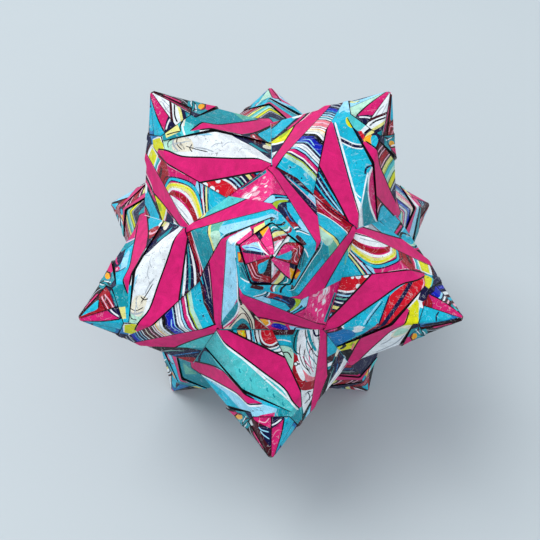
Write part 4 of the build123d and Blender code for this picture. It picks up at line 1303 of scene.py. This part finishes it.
def cap_stripes() -> list[Mark]:
    """Navy and white stripes with the wedge.

    Returns:
        The marks, in the order they are printed.
    """
    ends = [(Ink.NAVY, 0.1), (Ink.ROYAL, 0.3), (Ink.SKY, 0.36), (Ink.NAVY, 0.42), (Ink.WHITE, 0.47),
            (Ink.MAROON, 0.55),
            (Ink.PALE_PINK, 0.6), (Ink.MAROON, 0.68), (Ink.TEAL, 0.78), (Ink.AQUA, 0.9), (Ink.MAROON, 1.0)]
    return [
        cap_ground(Ink.NAVY),
        *bands(ends, [(-9.8, 31.0), (-2.0, 41.4)], [(-2.4, 27.0), (0.4, 39.0)]),
        block(Ink.CRIMSON, (-0.5, 42.6), (-1.8, 39.4), (-3.2, 33.4), (-3.8, 29), (-1.8, 31), (0.6, 31.6),
              (0.6, 42.6)),
        stroke(Ink.BLACK, 0.4, (-1.9, 39.6), (-3.3, 33.6), (-3.9, 29)),
        block(Ink.DEEP_RED, (-3.6, 29), (-1.8, 31), (0.6, 31.2), (0.6, 28), (-3.4, 28)),
    ]


def cap_bars() -> list[Mark]:
    """Bars of many inks across.

    Returns:
        The marks, in the order they are printed.
    """
    inks = [Ink.NAVY, Ink.ROYAL, Ink.NAVY, Ink.WHITE, Ink.MAROON, Ink.CYAN, Ink.MAROON, Ink.PALE_PINK,
            Ink.MAROON,
            Ink.CYAN, Ink.PALE_PINK, Ink.MAROON, Ink.CRIMSON]
    return [
        cap_ground(Ink.NAVY),
        *bands([(ink, (n + 1) / len(inks)) for n, ink in enumerate(inks)], [(-9.6, 28.0), (-2.0, 44)],
               [(0.6, 27.6), (0.6, 43.6)]),
    ]


# A dark band round the last ridge, in teal, amber and red
DUSK_BAND = (
    block(Ink.TEAL, (-22, 31), (-14, 36), (-14, 49), (-18, 49)),
    block(Ink.NAVY, (-18, 44.6), (-14.4, 45.2), (-14.2, 49), (-18, 49)),
    block(Ink.MAROON, (-22.4, 31.6), (-20, 38.6), (-18.4, 38.8), (-16.8, 35.2), (-14, 35)),
    patch(Ink.AMBER, (-18.8, 35.8), (-17.8, 40.4), (-16.4, 40), (-16.6, 36.4)),
    stroke(Ink.DEEP_RED, 0.8, (-20.4, 34.2), (-19, 36.6), (-17.8, 41)),
    stroke(Ink.BLACK, 0.6, (-15.4, 45), (-15.7, 41), (-14.6, 37)),
    stroke(Ink.WHITE, 0.35, (-16.4, 43.8), (-16.0, 41.8), (-15.2, 38.6)),
    stroke(Ink.NAVY, 0.5, (-19.4, 37.4), (-17.4, 41.6), (-15.2, 42.6)),
)


# Plum with a navy streak and a crimson corner
CAP_PLUM = (
    cap_ground(Ink.MAROON),
    block(Ink.CRIMSON, (-10.4, 32.4), (-7, 34.8), (-5.6, 31.4), (-4.4, 28.4), (-7, 28.4)),
    patch(Ink.NAVY, (-6.8, 35.4), (-3.2, 39.4), (-3.2, 36), (-4.4, 32.2), (-5.8, 33)),
    stroke(Ink.SKY, 0.4, (-5.8, 35.6), (-4.6, 33.6), (-4.4, 32.2)),
    stroke(Ink.SKY, 0.35, (-4.4, 37.4), (-3.9, 35), (-4.0, 33.4)),
    stroke(Ink.PALE_PINK, 0.35, (-9, 32.2), (-7, 32.4), (-5.8, 30.6)),
    block(Ink.WHITE, (-3, 28), (-1.6, 30.6), (0.4, 30), (0.6, 28)),
)


class Design(Enum):
    """The print on an arm. The sheets are cut from different parts of the printed paper."""

    FAN = "fan_panel"
    ZIGZAG = "zigzag"
    SKY_ARC = "sky_arc"
    SPOT = "cyan_spot"
    STRIPED = "striped"
    RAINBOW = "rainbow"
    MARBLE = "marble"
    WHITE_LEAF = "white_leaf"
    PLAIN_TEAL = "plain_teal"
    CLOUD = "cloud"
    LADDER = "ladder"
    DARK_TEAL = "dark_teal"
    SPLASH = "splash"
    PALE_SKY = "pale_sky"
    GREY_GREEN = "grey_green"
    RIVER = "river"
    RIBBON = "ribbon"
    DARK_STRIPES = "dark_stripes"
    BLUE_RAINBOW = "blue_rainbow"
    SWEPT_LEAF = "swept_leaf"
    NIGHT = "night"
    PALE_NIGHT = "pale_night"
    PALE_FAN = "pale_fan"
    WARM_ZIGZAG = "warm_zigzag"


class Cap(Enum):
    """The print on the small part of an arm that shows next to the spike's point."""

    RED = "cap_red"
    MARBLE = "cap_marble"
    LILAC = "cap_lilac"
    CYAN = "cap_cyan"
    PALE = "cap_pale"
    WHITE = "cap_white"
    STRIPES = "cap_stripes"
    PLUM = "cap_plum"
    ICE = "cap_ice"
    TEAL = "cap_teal"
    FROST = "cap_frost"
    DARK = "cap_dark"
    POOL = "cap_pool"
    BARS = "cap_bars"


DESIGNS = {
    Design.FAN: FAN_PANEL, Design.ZIGZAG: ZIGZAG, Design.SKY_ARC: SKY_ARC, Design.SPOT: CYAN_SPOT,
    Design.STRIPED: striped(), Design.RAINBOW: rainbow(), Design.MARBLE: MARBLE,
    Design.WHITE_LEAF: WHITE_LEAF,
    Design.PLAIN_TEAL: plain_teal(), Design.CLOUD: CLOUD, Design.LADDER: ladder(),
    Design.DARK_TEAL: DARK_TEAL,
    Design.SPLASH: SPLASH, Design.PALE_SKY: PALE_SKY, Design.GREY_GREEN: GREY_GREEN, Design.RIVER: RIVER,
    Design.RIBBON: RIBBON, Design.DARK_STRIPES: DARK_STRIPES, Design.BLUE_RAINBOW: BLUE_RAINBOW,
    Design.SWEPT_LEAF: swept_leaf(), Design.NIGHT: NIGHT, Design.PALE_NIGHT: PALE_NIGHT,
    Design.PALE_FAN: PALE_FAN, Design.WARM_ZIGZAG: WARM_ZIGZAG,
}
CAPS = {
    Cap.RED: CAP_RED, Cap.MARBLE: CAP_MARBLE, Cap.LILAC: CAP_LILAC, Cap.CYAN: CAP_CYAN,
    Cap.PALE: cap_pale(), Cap.WHITE: CAP_WHITE, Cap.STRIPES: cap_stripes(), Cap.PLUM: CAP_PLUM,
    Cap.ICE: cap_ice(), Cap.TEAL: CAP_TEAL, Cap.FROST: CAP_FROST, Cap.DARK: CAP_DARK, Cap.POOL: CAP_POOL,
    Cap.BARS: cap_bars(),
}
TALL_WEDGE = {Design.WHITE_LEAF, Design.SWEPT_LEAF, Design.PLAIN_TEAL, Design.CLOUD, Design.LADDER,
              Design.GREY_GREEN}
WHITE_RIM = {Design.PLAIN_TEAL, Design.PALE_SKY, Design.SPOT}
NARROW_WEDGE = {Design.DARK_TEAL, Design.SPLASH, Design.PALE_SKY}

# Dark lines: painted shadow where the next arm's slanted edge lies over this one, and dark lines along the
# sheet's own edges
LAP_SHADOW_LINE = ((-0.1, 0.2), (-8.8, 20.3), (-15.2, 35.1))
TOP_EDGE = ((-1.3, 41.8), (-9.8, 32.4), (-14.0, 36.2), (-15.2, 47.3))
SLANTED_EDGE = ((-16.9, 47.9), (-28.9, 11.6))


def lap_shadow_and_edge_lines() -> list[Mark]:
    """The painted shadow beside the next arm's edge, and the dark lines along the sheet's own edges."""
    lines = ((LAP_SHADOW_LINE, 1.2), (TOP_EDGE, 0.5), (SLANTED_EDGE, 0.35))
    return [Mark(Ink.BLACK, line, width, curved=False, plain=True) for line, width in lines]


# Which print an arm has: the spike it is on, the spike it reaches across to, and its prints
ARMS = {
    (Spike.TOP_FRONT, Spike.TOP_RIGHT): (Design.FAN, Cap.RED),
    (Spike.TOP_FRONT, Spike.TOP_LEFT): (Design.ZIGZAG, Cap.MARBLE),
    (Spike.TOP_FRONT, Spike.SIDE_LEFT): (Design.PALE_FAN, Cap.LILAC),
    (Spike.TOP_FRONT, Spike.WAIST_FRONT): (Design.SKY_ARC, Cap.CYAN),
    (Spike.TOP_FRONT, Spike.SIDE_RIGHT): (Design.WARM_ZIGZAG, Cap.MARBLE),
    (Spike.TOP_RIGHT, Spike.TOP_FRONT): (Design.STRIPED, Cap.ICE),
    (Spike.TOP_RIGHT, Spike.SIDE_RIGHT): (Design.SPOT, Cap.WHITE),
    (Spike.TOP_RIGHT, Spike.WAIST_RIGHT): (Design.LADDER, Cap.RED),
    (Spike.TOP_RIGHT, Spike.SIDE_BACK): (Design.PALE_SKY, Cap.MARBLE),
    (Spike.TOP_RIGHT, Spike.TOP_LEFT): (Design.RIBBON, Cap.FROST),
    (Spike.TOP_LEFT, Spike.TOP_FRONT): (Design.RAINBOW, Cap.PALE),
    (Spike.TOP_LEFT, Spike.TOP_RIGHT): (Design.WHITE_LEAF, Cap.WHITE),
    (Spike.TOP_LEFT, Spike.SIDE_BACK): (Design.DARK_TEAL, Cap.DARK),
    (Spike.TOP_LEFT, Spike.WAIST_LEFT): (Design.LADDER, Cap.WHITE),
    (Spike.TOP_LEFT, Spike.SIDE_LEFT): (Design.RIBBON, Cap.TEAL),
    (Spike.SIDE_LEFT, Spike.TOP_FRONT): (Design.DARK_STRIPES, Cap.PALE),
    (Spike.SIDE_LEFT, Spike.TOP_LEFT): (Design.SWEPT_LEAF, Cap.CYAN),
    (Spike.SIDE_LEFT, Spike.WAIST_LEFT): (Design.SPLASH, Cap.DARK),
    (Spike.SIDE_LEFT, Spike.FOOT_LEFT): (Design.CLOUD, Cap.STRIPES),
    (Spike.SIDE_LEFT, Spike.WAIST_FRONT): (Design.NIGHT, Cap.TEAL),
    (Spike.WAIST_FRONT, Spike.TOP_FRONT): (Design.MARBLE, Cap.PALE),
    (Spike.WAIST_FRONT, Spike.SIDE_LEFT): (Design.PLAIN_TEAL, Cap.PLUM),
    (Spike.WAIST_FRONT, Spike.FOOT_LEFT): (Design.PALE_SKY, Cap.DARK),
    (Spike.WAIST_FRONT, Spike.FOOT_RIGHT): (Design.DARK_TEAL, Cap.WHITE),
    (Spike.WAIST_FRONT, Spike.SIDE_RIGHT): (Design.PALE_NIGHT, Cap.TEAL),
    (Spike.SIDE_RIGHT, Spike.TOP_FRONT): (Design.BLUE_RAINBOW, Cap.STRIPES),
    (Spike.SIDE_RIGHT, Spike.WAIST_FRONT): (Design.CLOUD, Cap.POOL),
    (Spike.SIDE_RIGHT, Spike.FOOT_RIGHT): (Design.GREY_GREEN, Cap.DARK),
    (Spike.SIDE_RIGHT, Spike.WAIST_RIGHT): (Design.CLOUD, Cap.PLUM),
    (Spike.SIDE_RIGHT, Spike.TOP_RIGHT): (Design.RIVER, Cap.BARS),
    (Spike.WAIST_LEFT, Spike.TOP_LEFT): (Design.LADDER, Cap.CYAN),
    (Spike.WAIST_RIGHT, Spike.SIDE_RIGHT): (Design.STRIPED, Cap.PLUM),
    (Spike.FOOT_LEFT, Spike.SIDE_LEFT): (Design.DARK_TEAL, Cap.TEAL),
    (Spike.FOOT_LEFT, Spike.WAIST_LEFT): (Design.SPLASH, Cap.WHITE),
    (Spike.FOOT_LEFT, Spike.WAIST_FRONT): (Design.RIVER, Cap.DARK),
    (Spike.FOOT_RIGHT, Spike.WAIST_FRONT): (Design.NIGHT, Cap.CYAN),
    (Spike.FOOT_RIGHT, Spike.SIDE_RIGHT): (Design.RIBBON, Cap.DARK),
}
DARK_BANDS = {
    (Spike.SIDE_LEFT, Spike.FOOT_LEFT), (Spike.WAIST_FRONT, Spike.FOOT_RIGHT),
    (Spike.SIDE_RIGHT, Spike.WAIST_RIGHT),
    (Spike.TOP_LEFT, Spike.WAIST_LEFT), (Spike.TOP_RIGHT, Spike.SIDE_BACK),
}
OTHER_DESIGNS = [
    Design.STRIPED, Design.PLAIN_TEAL, Design.RAINBOW, Design.ZIGZAG, Design.WHITE_LEAF,
    Design.FAN, Design.CLOUD, Design.SKY_ARC, Design.LADDER, Design.SPOT, Design.MARBLE,
]


def arm_marks(spike: Spike, facing: Spike, turn: int) -> list[Mark]:
    """All the ink on one arm, painted shadow included.

    Args:
        spike: the spike that the arm is on.
        facing: the spike at the sheet's other end.
        turn: picks the print of an arm that has none of its own.

    Returns:
        The marks, in the order they are printed.
    """
    spare = (OTHER_DESIGNS[turn % len(OTHER_DESIGNS)], list(Cap)[turn % len(Cap)])
    design, cap = ARMS.get((spike, facing), spare)
    marks = [*DESIGNS[design]]
    if (spike, facing) in DARK_BANDS:
        marks += DUSK_BAND
    marks += wedge(Ink.CRIMSON, design in TALL_WEDGE, design in NARROW_WEDGE, design in WHITE_RIM)
    return [*marks, *CAPS[cap], *lap_shadow_and_edge_lines()]


@dataclass
class Sheet:
    """One sheet of printed paper, folded into a unit of the ball."""

    number: int
    spikes: tuple[Spike, Spike]
    shape: SheetShape
    folding: Folding
    lift: float = 0.28
    waviness: float = 0.22
    edge_band: float = 5.0
    wave_scale: float = 0.045
    smooth_angle: float = 35.0
    crease_start: float = 0.3
    grid_reach: tuple[int, int] = (30, 49)
    print_span: float = 100.0
    print_shift: tuple[float, float] = (0.37, 0.71)

    @property
    def node(self) -> str:
        """The CAD node that this sheet stands for."""
        return f"unit_{self.number:02}"

    def placing(self) -> np.ndarray:
        """The turn that carries the unit's own frame to its place on the ball.

        Returns:
            The frame's three axes, one in each row.
        """
        one, two = (spike.direction for spike in self.spikes)
        across = (one - two).normalized()
        up = (one + two).normalized()
        return np.array([across, up.cross(across), up])

    def marks(self) -> list[list[Mark]]:
        """The ink on the first and on the second arm."""
        one, two = self.spikes
        return [arm_marks(one, two, self.number), arm_marks(two, one, 3 * self.number + 1)]

    def layout(self, marks: list[list[Mark]]) -> tuple[np.ndarray, np.ndarray]:
        """Divide the flat sheet into triangles along its edge, its folds and its print.

        Args:
            marks: the ink on each arm.

        Returns:
            The flat places, and three place numbers for each triangle.
        """
        outline = self.shape.outline()
        loops = [outline]
        lines = []
        radius = self.shape.fold_radius
        offsets = (-radius, -radius / 2, 0.0, radius / 2, radius)
        for start, end, _, _ in self.folding.creases:
            along = (end - start) / np.linalg.norm(end - start)
            aside = np.array([-along[1], along[0]])
            for offset in offsets:
                run = np.array([start + along * self.crease_start, end]) + aside * offset
                lines += [run, -run]
        lines += [np.array([(-17.0, offset), (17.0, offset)]) for offset in offsets]
        for arm, side in zip(marks, (1, -1)):
            loops += [mark.outline() * side for mark in arm]
        places: list[np.ndarray] = []
        edges: list[tuple[int, int]] = []
        count = 0
        for loop in loops:
            places.append(loop)
            edges += [(count + n, count + (n + 1) % len(loop)) for n in range(len(loop))]
            count += len(loop)
        for line in lines:
            places.append(line)
            edges.append((count, count + 1))
            count += 2
        step = self.shape.grid_step
        x, y = np.meshgrid(*(np.arange(-reach, reach + 1, step) for reach in self.grid_reach))
        places.append(np.column_stack([x.ravel() + step / 2 * (np.arange(x.size) % 2), y.ravel()]))
        flat = [Vector(place) for place in np.concatenate(places)]
        found, _, faces, _, _, _ = delaunay_2d_cdt(flat, edges, [], 0, MERGE)
        found = np.array(found)
        triangles = np.array([face for face in faces if len(face) == 3])
        middles = found[triangles].mean(axis=1)
        triangles = triangles[inside(middles, outline)]
        used, renumbered = np.unique(triangles, return_inverse=True)
        return found[used], renumbered.reshape(-1, 3)

    def colours(self, middles: np.ndarray,
                marks: list[list[Mark]]) -> tuple[np.ndarray, np.ndarray]:
        """The ink at the middle of each triangle.

        Args:
            middles: the triangles' middles on the flat sheet.
            marks: the ink on each arm.

        Returns:
            One colour for each triangle, and how much marbling it has.
        """
        result = np.ones((len(middles), 4))
        marbled = np.ones(len(middles))
        for arm, side in zip(marks, (1, -1)):
            own = np.where(middles[:, 1] * side > 0)[0]
            local = middles[own] * side
            for mark in arm:
                covered = own[inside(local, mark.outline())]
                result[covered] = mark.ink.linear
                marbled[covered] = not mark.plain
        return result, marbled

    def lifted(self, flat: np.ndarray, rng: random.Random) -> np.ndarray:
        """How far each flat place of one arm stands off its panel.

        Args:
            flat: the arm's flat places.
            rng: the source of this sheet's small differences.

        Returns:
            One height for each place.
        """
        start, end = self.shape.slanted_edge
        along = (end - start) / np.linalg.norm(end - start)
        away = flat - start
        share = np.clip((away @ along) / np.linalg.norm(end - start), 0, 1)
        distance = np.abs(along[0] * away[:, 1] - along[1] * away[:, 0])
        near = np.clip(1 - distance / self.edge_band, 0, 1) ** 2
        height = self.lift * rng.uniform(0.5, 1.5)
        return height * near * np.sin(pi * np.clip(share, 0.02, 0.98)) ** 0.7

    def build(self) -> bpy.types.Object:
        """Cut, print and fold the sheet.

        Returns:
            The finished piece.
        """
        rng = random.Random(self.number)
        marks = self.marks()
        flat, triangles = self.layout(marks)
        colours, marbled = self.colours(flat[triangles].mean(axis=1), marks)
        folded = np.zeros((len(flat), 3))
        first = flat[:, 1] >= 0
        half_turn = np.array([-1.0, -1.0, 1.0])
        folded[first] = self.folding.place(flat[first], self.lifted(flat[first], rng))
        folded[~first] = self.folding.place(-flat[~first], self.lifted(-flat[~first], rng)) * half_turn
        centre = np.array([0.0, 0.0, Ball.centre_height()])
        placed = folded @ self.placing()
        placed += self.wave(placed)
        mesh = bpy.data.meshes.new(self.node)
        mesh.from_pydata(((placed + centre) * MM).tolist(), [], triangles.tolist())
        ink = mesh.color_attributes.new("ink", "FLOAT_COLOR", "CORNER")
        ink.data.foreach_set("color", np.repeat(colours, 3, axis=0).ravel().astype(np.float32))
        marbling = mesh.attributes.new("marbling", "FLOAT", "CORNER")
        marbling.data.foreach_set("value", np.repeat(marbled, 3).astype(np.float32))
        layout = mesh.uv_layers.new(name="sheet")
        shift = np.array([self.number * share for share in self.print_shift])
        printed = flat[triangles.ravel()] / self.print_span + shift
        layout.data.foreach_set("uv", printed.ravel().astype(np.float32))
        piece = bpy.data.objects.new(f"sheet_{self.number:02}", mesh)
        bpy.context.scene.collection.objects.link(piece)
        self._thicken(piece)
        return piece

    def wave(self, placed: np.ndarray) -> np.ndarray:
        """The paper's slight unevenness, the same for all layers at a place.

        Args:
            placed: places on the ball.

        Returns:
            How far each place moves.
        """
        return np.array([
            np.array(noise.noise_vector(Vector(place) * self.wave_scale)) * self.waviness
            for place in placed
        ])

    def _thicken(self, piece: bpy.types.Object) -> None:
        """Give the paper its thickness and smooth its folds.

        Args:
            piece: the printed surface of the sheet.
        """
        bpy.ops.object.select_all(action="DESELECT")
        piece.select_set(True)
        bpy.context.view_layer.objects.active = piece
        paper = piece.modifiers.new("paper", "SOLIDIFY")
        paper.thickness = self.shape.thickness * MM
        paper.offset = -1.0
        paper.material_offset = 1
        paper.material_offset_rim = 0
        piece.data.materials.append(PrintedPaper().material())
        piece.data.materials.append(PlainPaper().material())
        bpy.ops.object.modifier_apply(modifier=paper.name)
        bpy.ops.object.shade_smooth_by_angle(angle=radians(self.smooth_angle))


class Finish:
    """A material's nodes, joined step by step."""

    def __init__(self, name: str, uv_map: str = "") -> None:
        """Start the material.

        Args:
            name: the material's name.
            uv_map: the map that its patterns follow, or none to follow the object.
        """
        self.made = bpy.data.materials.new(name)
        self.made.use_nodes = True
        self.nodes, self.links = self.made.node_tree.nodes, self.made.node_tree.links
        self.shader = self.nodes["Principled BSDF"]
        if uv_map:
            layout = self.nodes.new("ShaderNodeUVMap")
            layout.uv_map = uv_map
            self.place = layout.outputs["UV"]
        else:
            self.place = self.nodes.new("ShaderNodeTexCoord").outputs["Object"]

    def attribute(self, name: str) -> bpy.types.Node:
        """Read one of the mesh's attributes.

        Args:
            name: the attribute's name.

        Returns:
            The node that reads it.
        """
        node = self.nodes.new("ShaderNodeAttribute")
        node.attribute_name = name
        return node

    def noise(self, scale: float, detail: float = 2.0, twist: float = 0.0) -> Socket:
        """Make noise over the surface.

        Args:
            scale: how fine it is.
            detail: how many finer layers it has.
            twist: how far it is distorted.

        Returns:
            The noise's value.
        """
        node = self.nodes.new("ShaderNodeTexNoise")
        node.inputs["Scale"].default_value = scale
        node.inputs["Detail"].default_value = detail
        node.inputs["Distortion"].default_value = twist
        self.links.new(self.place, node.inputs["Vector"])
        return node.outputs["Fac"]

    def ranged(self, value: Socket, low: float, high: float, start: float, end: float) -> Socket:
        """Carry a value from one range to another.

        Args:
            value: the value.
            low: the first range's start.
            high: the first range's end.
            start: the second range's start.
            end: the second range's end.

        Returns:
            The value in the second range.
        """
        node = self.nodes.new("ShaderNodeMapRange")
        sockets = ("From Min", "From Max", "To Min", "To Max")
        for socket, number in zip(sockets, (low, high, start, end)):
            node.inputs[socket].default_value = number
        self.links.new(value, node.inputs["Value"])
        return node.outputs["Result"]

    def product(self, one: Socket, two: Socket) -> Socket:
        """Multiply two values.

        Args:
            one: the first value.
            two: the second value.

        Returns:
            Their product.
        """
        node = self.nodes.new("ShaderNodeMath")
        node.operation = "MULTIPLY"
        self.links.new(one, node.inputs[0])
        self.links.new(two, node.inputs[1])
        return node.outputs["Value"]

    def contour(self, value: Socket, level: float, width: float, strength: float) -> Socket:
        """Draw a thin line where a value passes a level.

        Args:
            value: the value.
            level: the level.
            width: how far from the level the line reaches.
            strength: the line's own value.

        Returns:
            The line's value, which is 0 beside it.
        """
        node = self.nodes.new("ShaderNodeMath")
        node.operation = "COMPARE"
        node.inputs[1].default_value = level
        node.inputs[2].default_value = width
        self.links.new(value, node.inputs[0])
        return self.ranged(node.outputs["Value"], 0.0, 1.0, 0.0, strength)

    def mixed(self, base: Socket | Colour, share: Socket, over: Colour) -> Socket:
        """Lay a colour over another.

        Args:
            base: the colour below, fixed or from a node.
            share: how much of the upper colour shows.
            over: the colour above.

        Returns:
            The mixed colour.
        """
        node = self.nodes.new("ShaderNodeMix")
        node.data_type = "RGBA"
        node.inputs[7].default_value = over
        self.links.new(share, node.inputs["Factor"])
        if isinstance(base, tuple):
            node.inputs[6].default_value = base
        else:
            self.links.new(base, node.inputs[6])
        return node.outputs[2]

    def dress(self, colour: Socket, roughness: float) -> bpy.types.Material:
        """Give the surface its colour and roughness.

        Args:
            colour: the colour.
            roughness: how rough it is.

        Returns:
            The material.
        """
        self.links.new(colour, self.shader.inputs["Base Color"])
        self.shader.inputs["Roughness"].default_value = roughness
        return self.made


@dataclass(frozen=True)
class PrintedPaper:
    """The printed face: inks with brushed streaks, thin marbled lines, paper grain and dark specks of painted
    shade in the paper's embossed pits.
    """

    name: str = "inked_face"
    roughness: float = 0.45
    gloss: float = 0.15
    streak: float = 0.12
    grain: float = 0.10
    dark_line: float = 0.55
    pale_line: float = 0.30
    pale_ink: Colour = (0.72, 0.80, 0.84, 1.0)
    pit_shade_ink: Colour = (0.008, 0.02, 0.05, 1.0)
    dark_ink: Colour = (0.008, 0.008, 0.025, 1.0)
    bump_strength: float = 0.3
    bump_depth: float = 0.00015

    def material(self) -> bpy.types.Material:
        """Make the material, once.

        Returns:
            The material.
        """
        found = bpy.data.materials.get(self.name)
        if found:
            return found
        finish = Finish(self.name, "sheet")
        marbling = finish.attribute("marbling").outputs["Fac"]
        toned = finish.nodes.new("ShaderNodeVectorMath")
        toned.operation = "SCALE"
        streaks = finish.ranged(finish.noise(24.0, 6.0, 1.4), 0.3, 0.7,
                                1.0 - self.streak * 1.6, 1.0 + self.streak)
        grain = finish.ranged(finish.noise(300.0), 0.3, 0.7, 1.0 - self.grain, 1.0 + self.grain)
        finish.links.new(finish.attribute("ink").outputs["Color"], toned.inputs[0])
        finish.links.new(finish.product(streaks, grain), toned.inputs["Scale"])
        swirl = finish.noise(13.0, 2.0, 2.2)
        broken = finish.ranged(finish.noise(40.0), 0.46, 0.54, 0.0, 1.0)
        dark = finish.product(finish.contour(swirl, 0.55, 0.006, self.dark_line), broken)
        pale = finish.contour(swirl, 0.47, 0.007, self.pale_line)
        speck_noise = finish.noise(150.0)
        specks = finish.ranged(speck_noise, 0.66, 0.70, 0.0, self.pale_line)
        # Dark specks: painted shade in the paper's embossed pits
        pits = finish.ranged(speck_noise, 0.34, 0.30, 0.0, self.dark_line)
        colour = toned.outputs["Vector"]
        for share, ink in ((pale, self.pale_ink), (specks, self.pale_ink),
                           (pits, self.pit_shade_ink), (dark, self.dark_ink)):
            colour = finish.mixed(colour, finish.product(share, marbling), ink)
        bump = finish.nodes.new("ShaderNodeBump")
        bump.inputs["Strength"].default_value = self.bump_strength
        bump.inputs["Distance"].default_value = self.bump_depth
        finish.links.new(finish.noise(190.0, 4.0), bump.inputs["Height"])
        finish.links.new(bump.outputs["Normal"], finish.shader.inputs["Normal"])
        finish.shader.inputs["Specular IOR Level"].default_value = self.gloss
        return finish.dress(colour, self.roughness)


@dataclass(frozen=True)
class PlainPaper:
    """The white back of the sheets."""

    name: str = "white_back"
    fibre_scale: float = 900.0
    shade: Colour = (0.55, 0.57, 0.60, 1.0)
    white: Colour = (0.86, 0.87, 0.88, 1.0)
    roughness: float = 0.8

    def material(self) -> bpy.types.Material:
        """Make the material, once.

        Returns:
            The material.
        """
        found = bpy.data.materials.get(self.name)
        if found:
            return found
        finish = Finish(self.name)
        fibres = finish.noise(self.fibre_scale)
        return finish.dress(finish.mixed(self.shade, fibres, self.white), self.roughness)


@dataclass(frozen=True)
class TableTop:
    """The pale table under the ball."""

    name: str = "table_top"
    mottle_scale: float = 6.0
    shade: Colour = (0.46, 0.515, 0.55, 1.0)
    pale: Colour = (0.49, 0.545, 0.575, 1.0)
    roughness: float = 0.6

    def material(self) -> bpy.types.Material:
        """The table's material."""
        finish = Finish(self.name)
        mottle = finish.noise(self.mottle_scale)
        return finish.dress(finish.mixed(self.shade, mottle, self.pale), self.roughness)


@dataclass
class Ball:
    """The whole ball: thirty sheets on the places of the CAD units."""

    shape: SheetShape = field(default_factory=SheetShape)
    neighbour_cos: float = 0.4
    wave_seed: int = 7

    @staticmethod
    def centre_height() -> float:
        """How high the ball's centre is above the table, halfway up the CAD box."""
        low, high = BOX
        return (low[2] + high[2]) / 2 / MM

    def sheets(self) -> list[Sheet]:
        """Match every CAD unit with the two spikes that it joins.

        Returns:
            The sheets, in the order of the CAD units.
        """
        folding = Folding(self.shape)
        centre = Vector((0.0, 0.0, self.centre_height() * MM))
        pairs = [
            (one, two) for one in Spike for two in Spike
            if one.name < two.name and one.direction.dot(two.direction) > self.neighbour_cos
        ]
        made = []
        for number in range(1, len(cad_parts) + 1):
            corners = [v.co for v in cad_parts[f"unit_{number:02}"].data.vertices]
            middle = sum(corners, Vector()) / len(corners) - centre
            pair = max(pairs, key=lambda two: middle.dot(two[0].direction + two[1].direction))
            made.append(Sheet(number, pair, self.shape, folding))
        return made

    def build(self) -> None:
        """Make every sheet and hand it to the frame."""
        # Unless it is seeded, this noise starts from the clock and changes with every run
        noise.seed_set(self.wave_seed)
        for sheet in self.sheets():
            piece = sheet.build()
            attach(piece, BODY)
            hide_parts(sheet.node)
            LOG.info("%s: %d faces, from %s to %s", piece.name, len(piece.data.polygons),
                     sheet.spikes[0].name.lower(), sheet.spikes[1].name.lower())


@dataclass
class Studio:
    """The floor, the lights and the camera round the ball."""

    floor_size: float = 6.0
    camera_distance: float = 0.3343
    camera_elevation: float = 53.65
    camera_bearing: float = 0.28
    camera_roll: float = 0.27
    camera_lens: float = 62.07
    aim: tuple[float, float, float] = (-0.0002, -0.0041, -0.0030)
    key_energy: float = 31.0
    fill_energy: float = 4.0

    def build(self) -> None:
        """Make the floor, the lights and the camera."""
        self.floor()
        self.sky()
        self.lamp("key", (-0.95, 0.50, 1.95), 1.3, self.key_energy, (1.0, 0.99, 0.97))
        self.lamp("fill", (1.0, -1.3, 1.2), 1.2, self.fill_energy, (0.96, 0.98, 1.0))
        self.camera()

    def floor(self) -> None:
        """Lay the pale table."""
        bpy.ops.object.select_all(action="DESELECT")
        bpy.ops.mesh.primitive_plane_add(size=self.floor_size)
        table = bpy.context.object
        table.name = "table"
        table.data.materials.append(TableTop().material())

    def sky(self) -> None:
        """Light the room softly from all round."""
        world = bpy.data.worlds.new("room")
        world.use_nodes = True
        shade = world.node_tree.nodes["Background"]
        shade.inputs["Color"].default_value = (0.90, 0.95, 1.0, 1.0)
        shade.inputs["Strength"].default_value = 0.78
        bpy.context.scene.world = world
        bpy.context.scene.view_settings.view_transform = "Standard"

    def lamp(self, name: str, place: tuple[float, float, float], size: float,
             energy: float, tint: tuple[float, float, float]) -> None:
        """Hang one soft lamp that faces the ball.

        Args:
            name: the lamp's name.
            place: where it hangs, in metres.
            size: the side of its square, in metres.
            energy: its power in watts.
            tint: its colour.
        """
        light = bpy.data.lights.new(name, "AREA")
        light.size = size
        light.energy = energy
        light.color = tint
        lamp = bpy.data.objects.new(name, light)
        lamp.location = place
        lamp.rotation_euler = (Vector((0, 0, 0.05)) - Vector(place)).to_track_quat("-Z", "Y").to_euler()
        bpy.context.scene.collection.objects.link(lamp)

    def camera(self) -> None:
        """Set the camera up in front of the ball, looking down on it."""
        turn = Matrix.Rotation(radians(-self.camera_bearing), 3, "Z")
        turn = turn @ Matrix.Rotation(radians(90 - self.camera_elevation), 3, "X")
        turn = turn @ Matrix.Rotation(radians(self.camera_roll), 3, "Z")
        eye = bpy.data.cameras.new("camera")
        eye.lens = self.camera_lens
        eye.sensor_width = 36.0
        eye.clip_start = 0.01
        stand = bpy.data.objects.new("camera", eye)
        back = turn @ Vector((0, 0, 1))
        aim = Vector(self.aim) + Vector((0, 0, Ball.centre_height() * MM))
        stand.matrix_world = Matrix.Translation(aim + back * self.camera_distance) @ turn.to_4x4()
        bpy.context.scene.collection.objects.link(stand)
        bpy.context.scene.camera = stand


def main() -> None:
    """Build the ball and the studio."""
    logging.basicConfig(level=logging.INFO, format="%(name)s %(message)s")
    Ball().build()
    Studio().build()


if __name__ == "__main__":
    main()
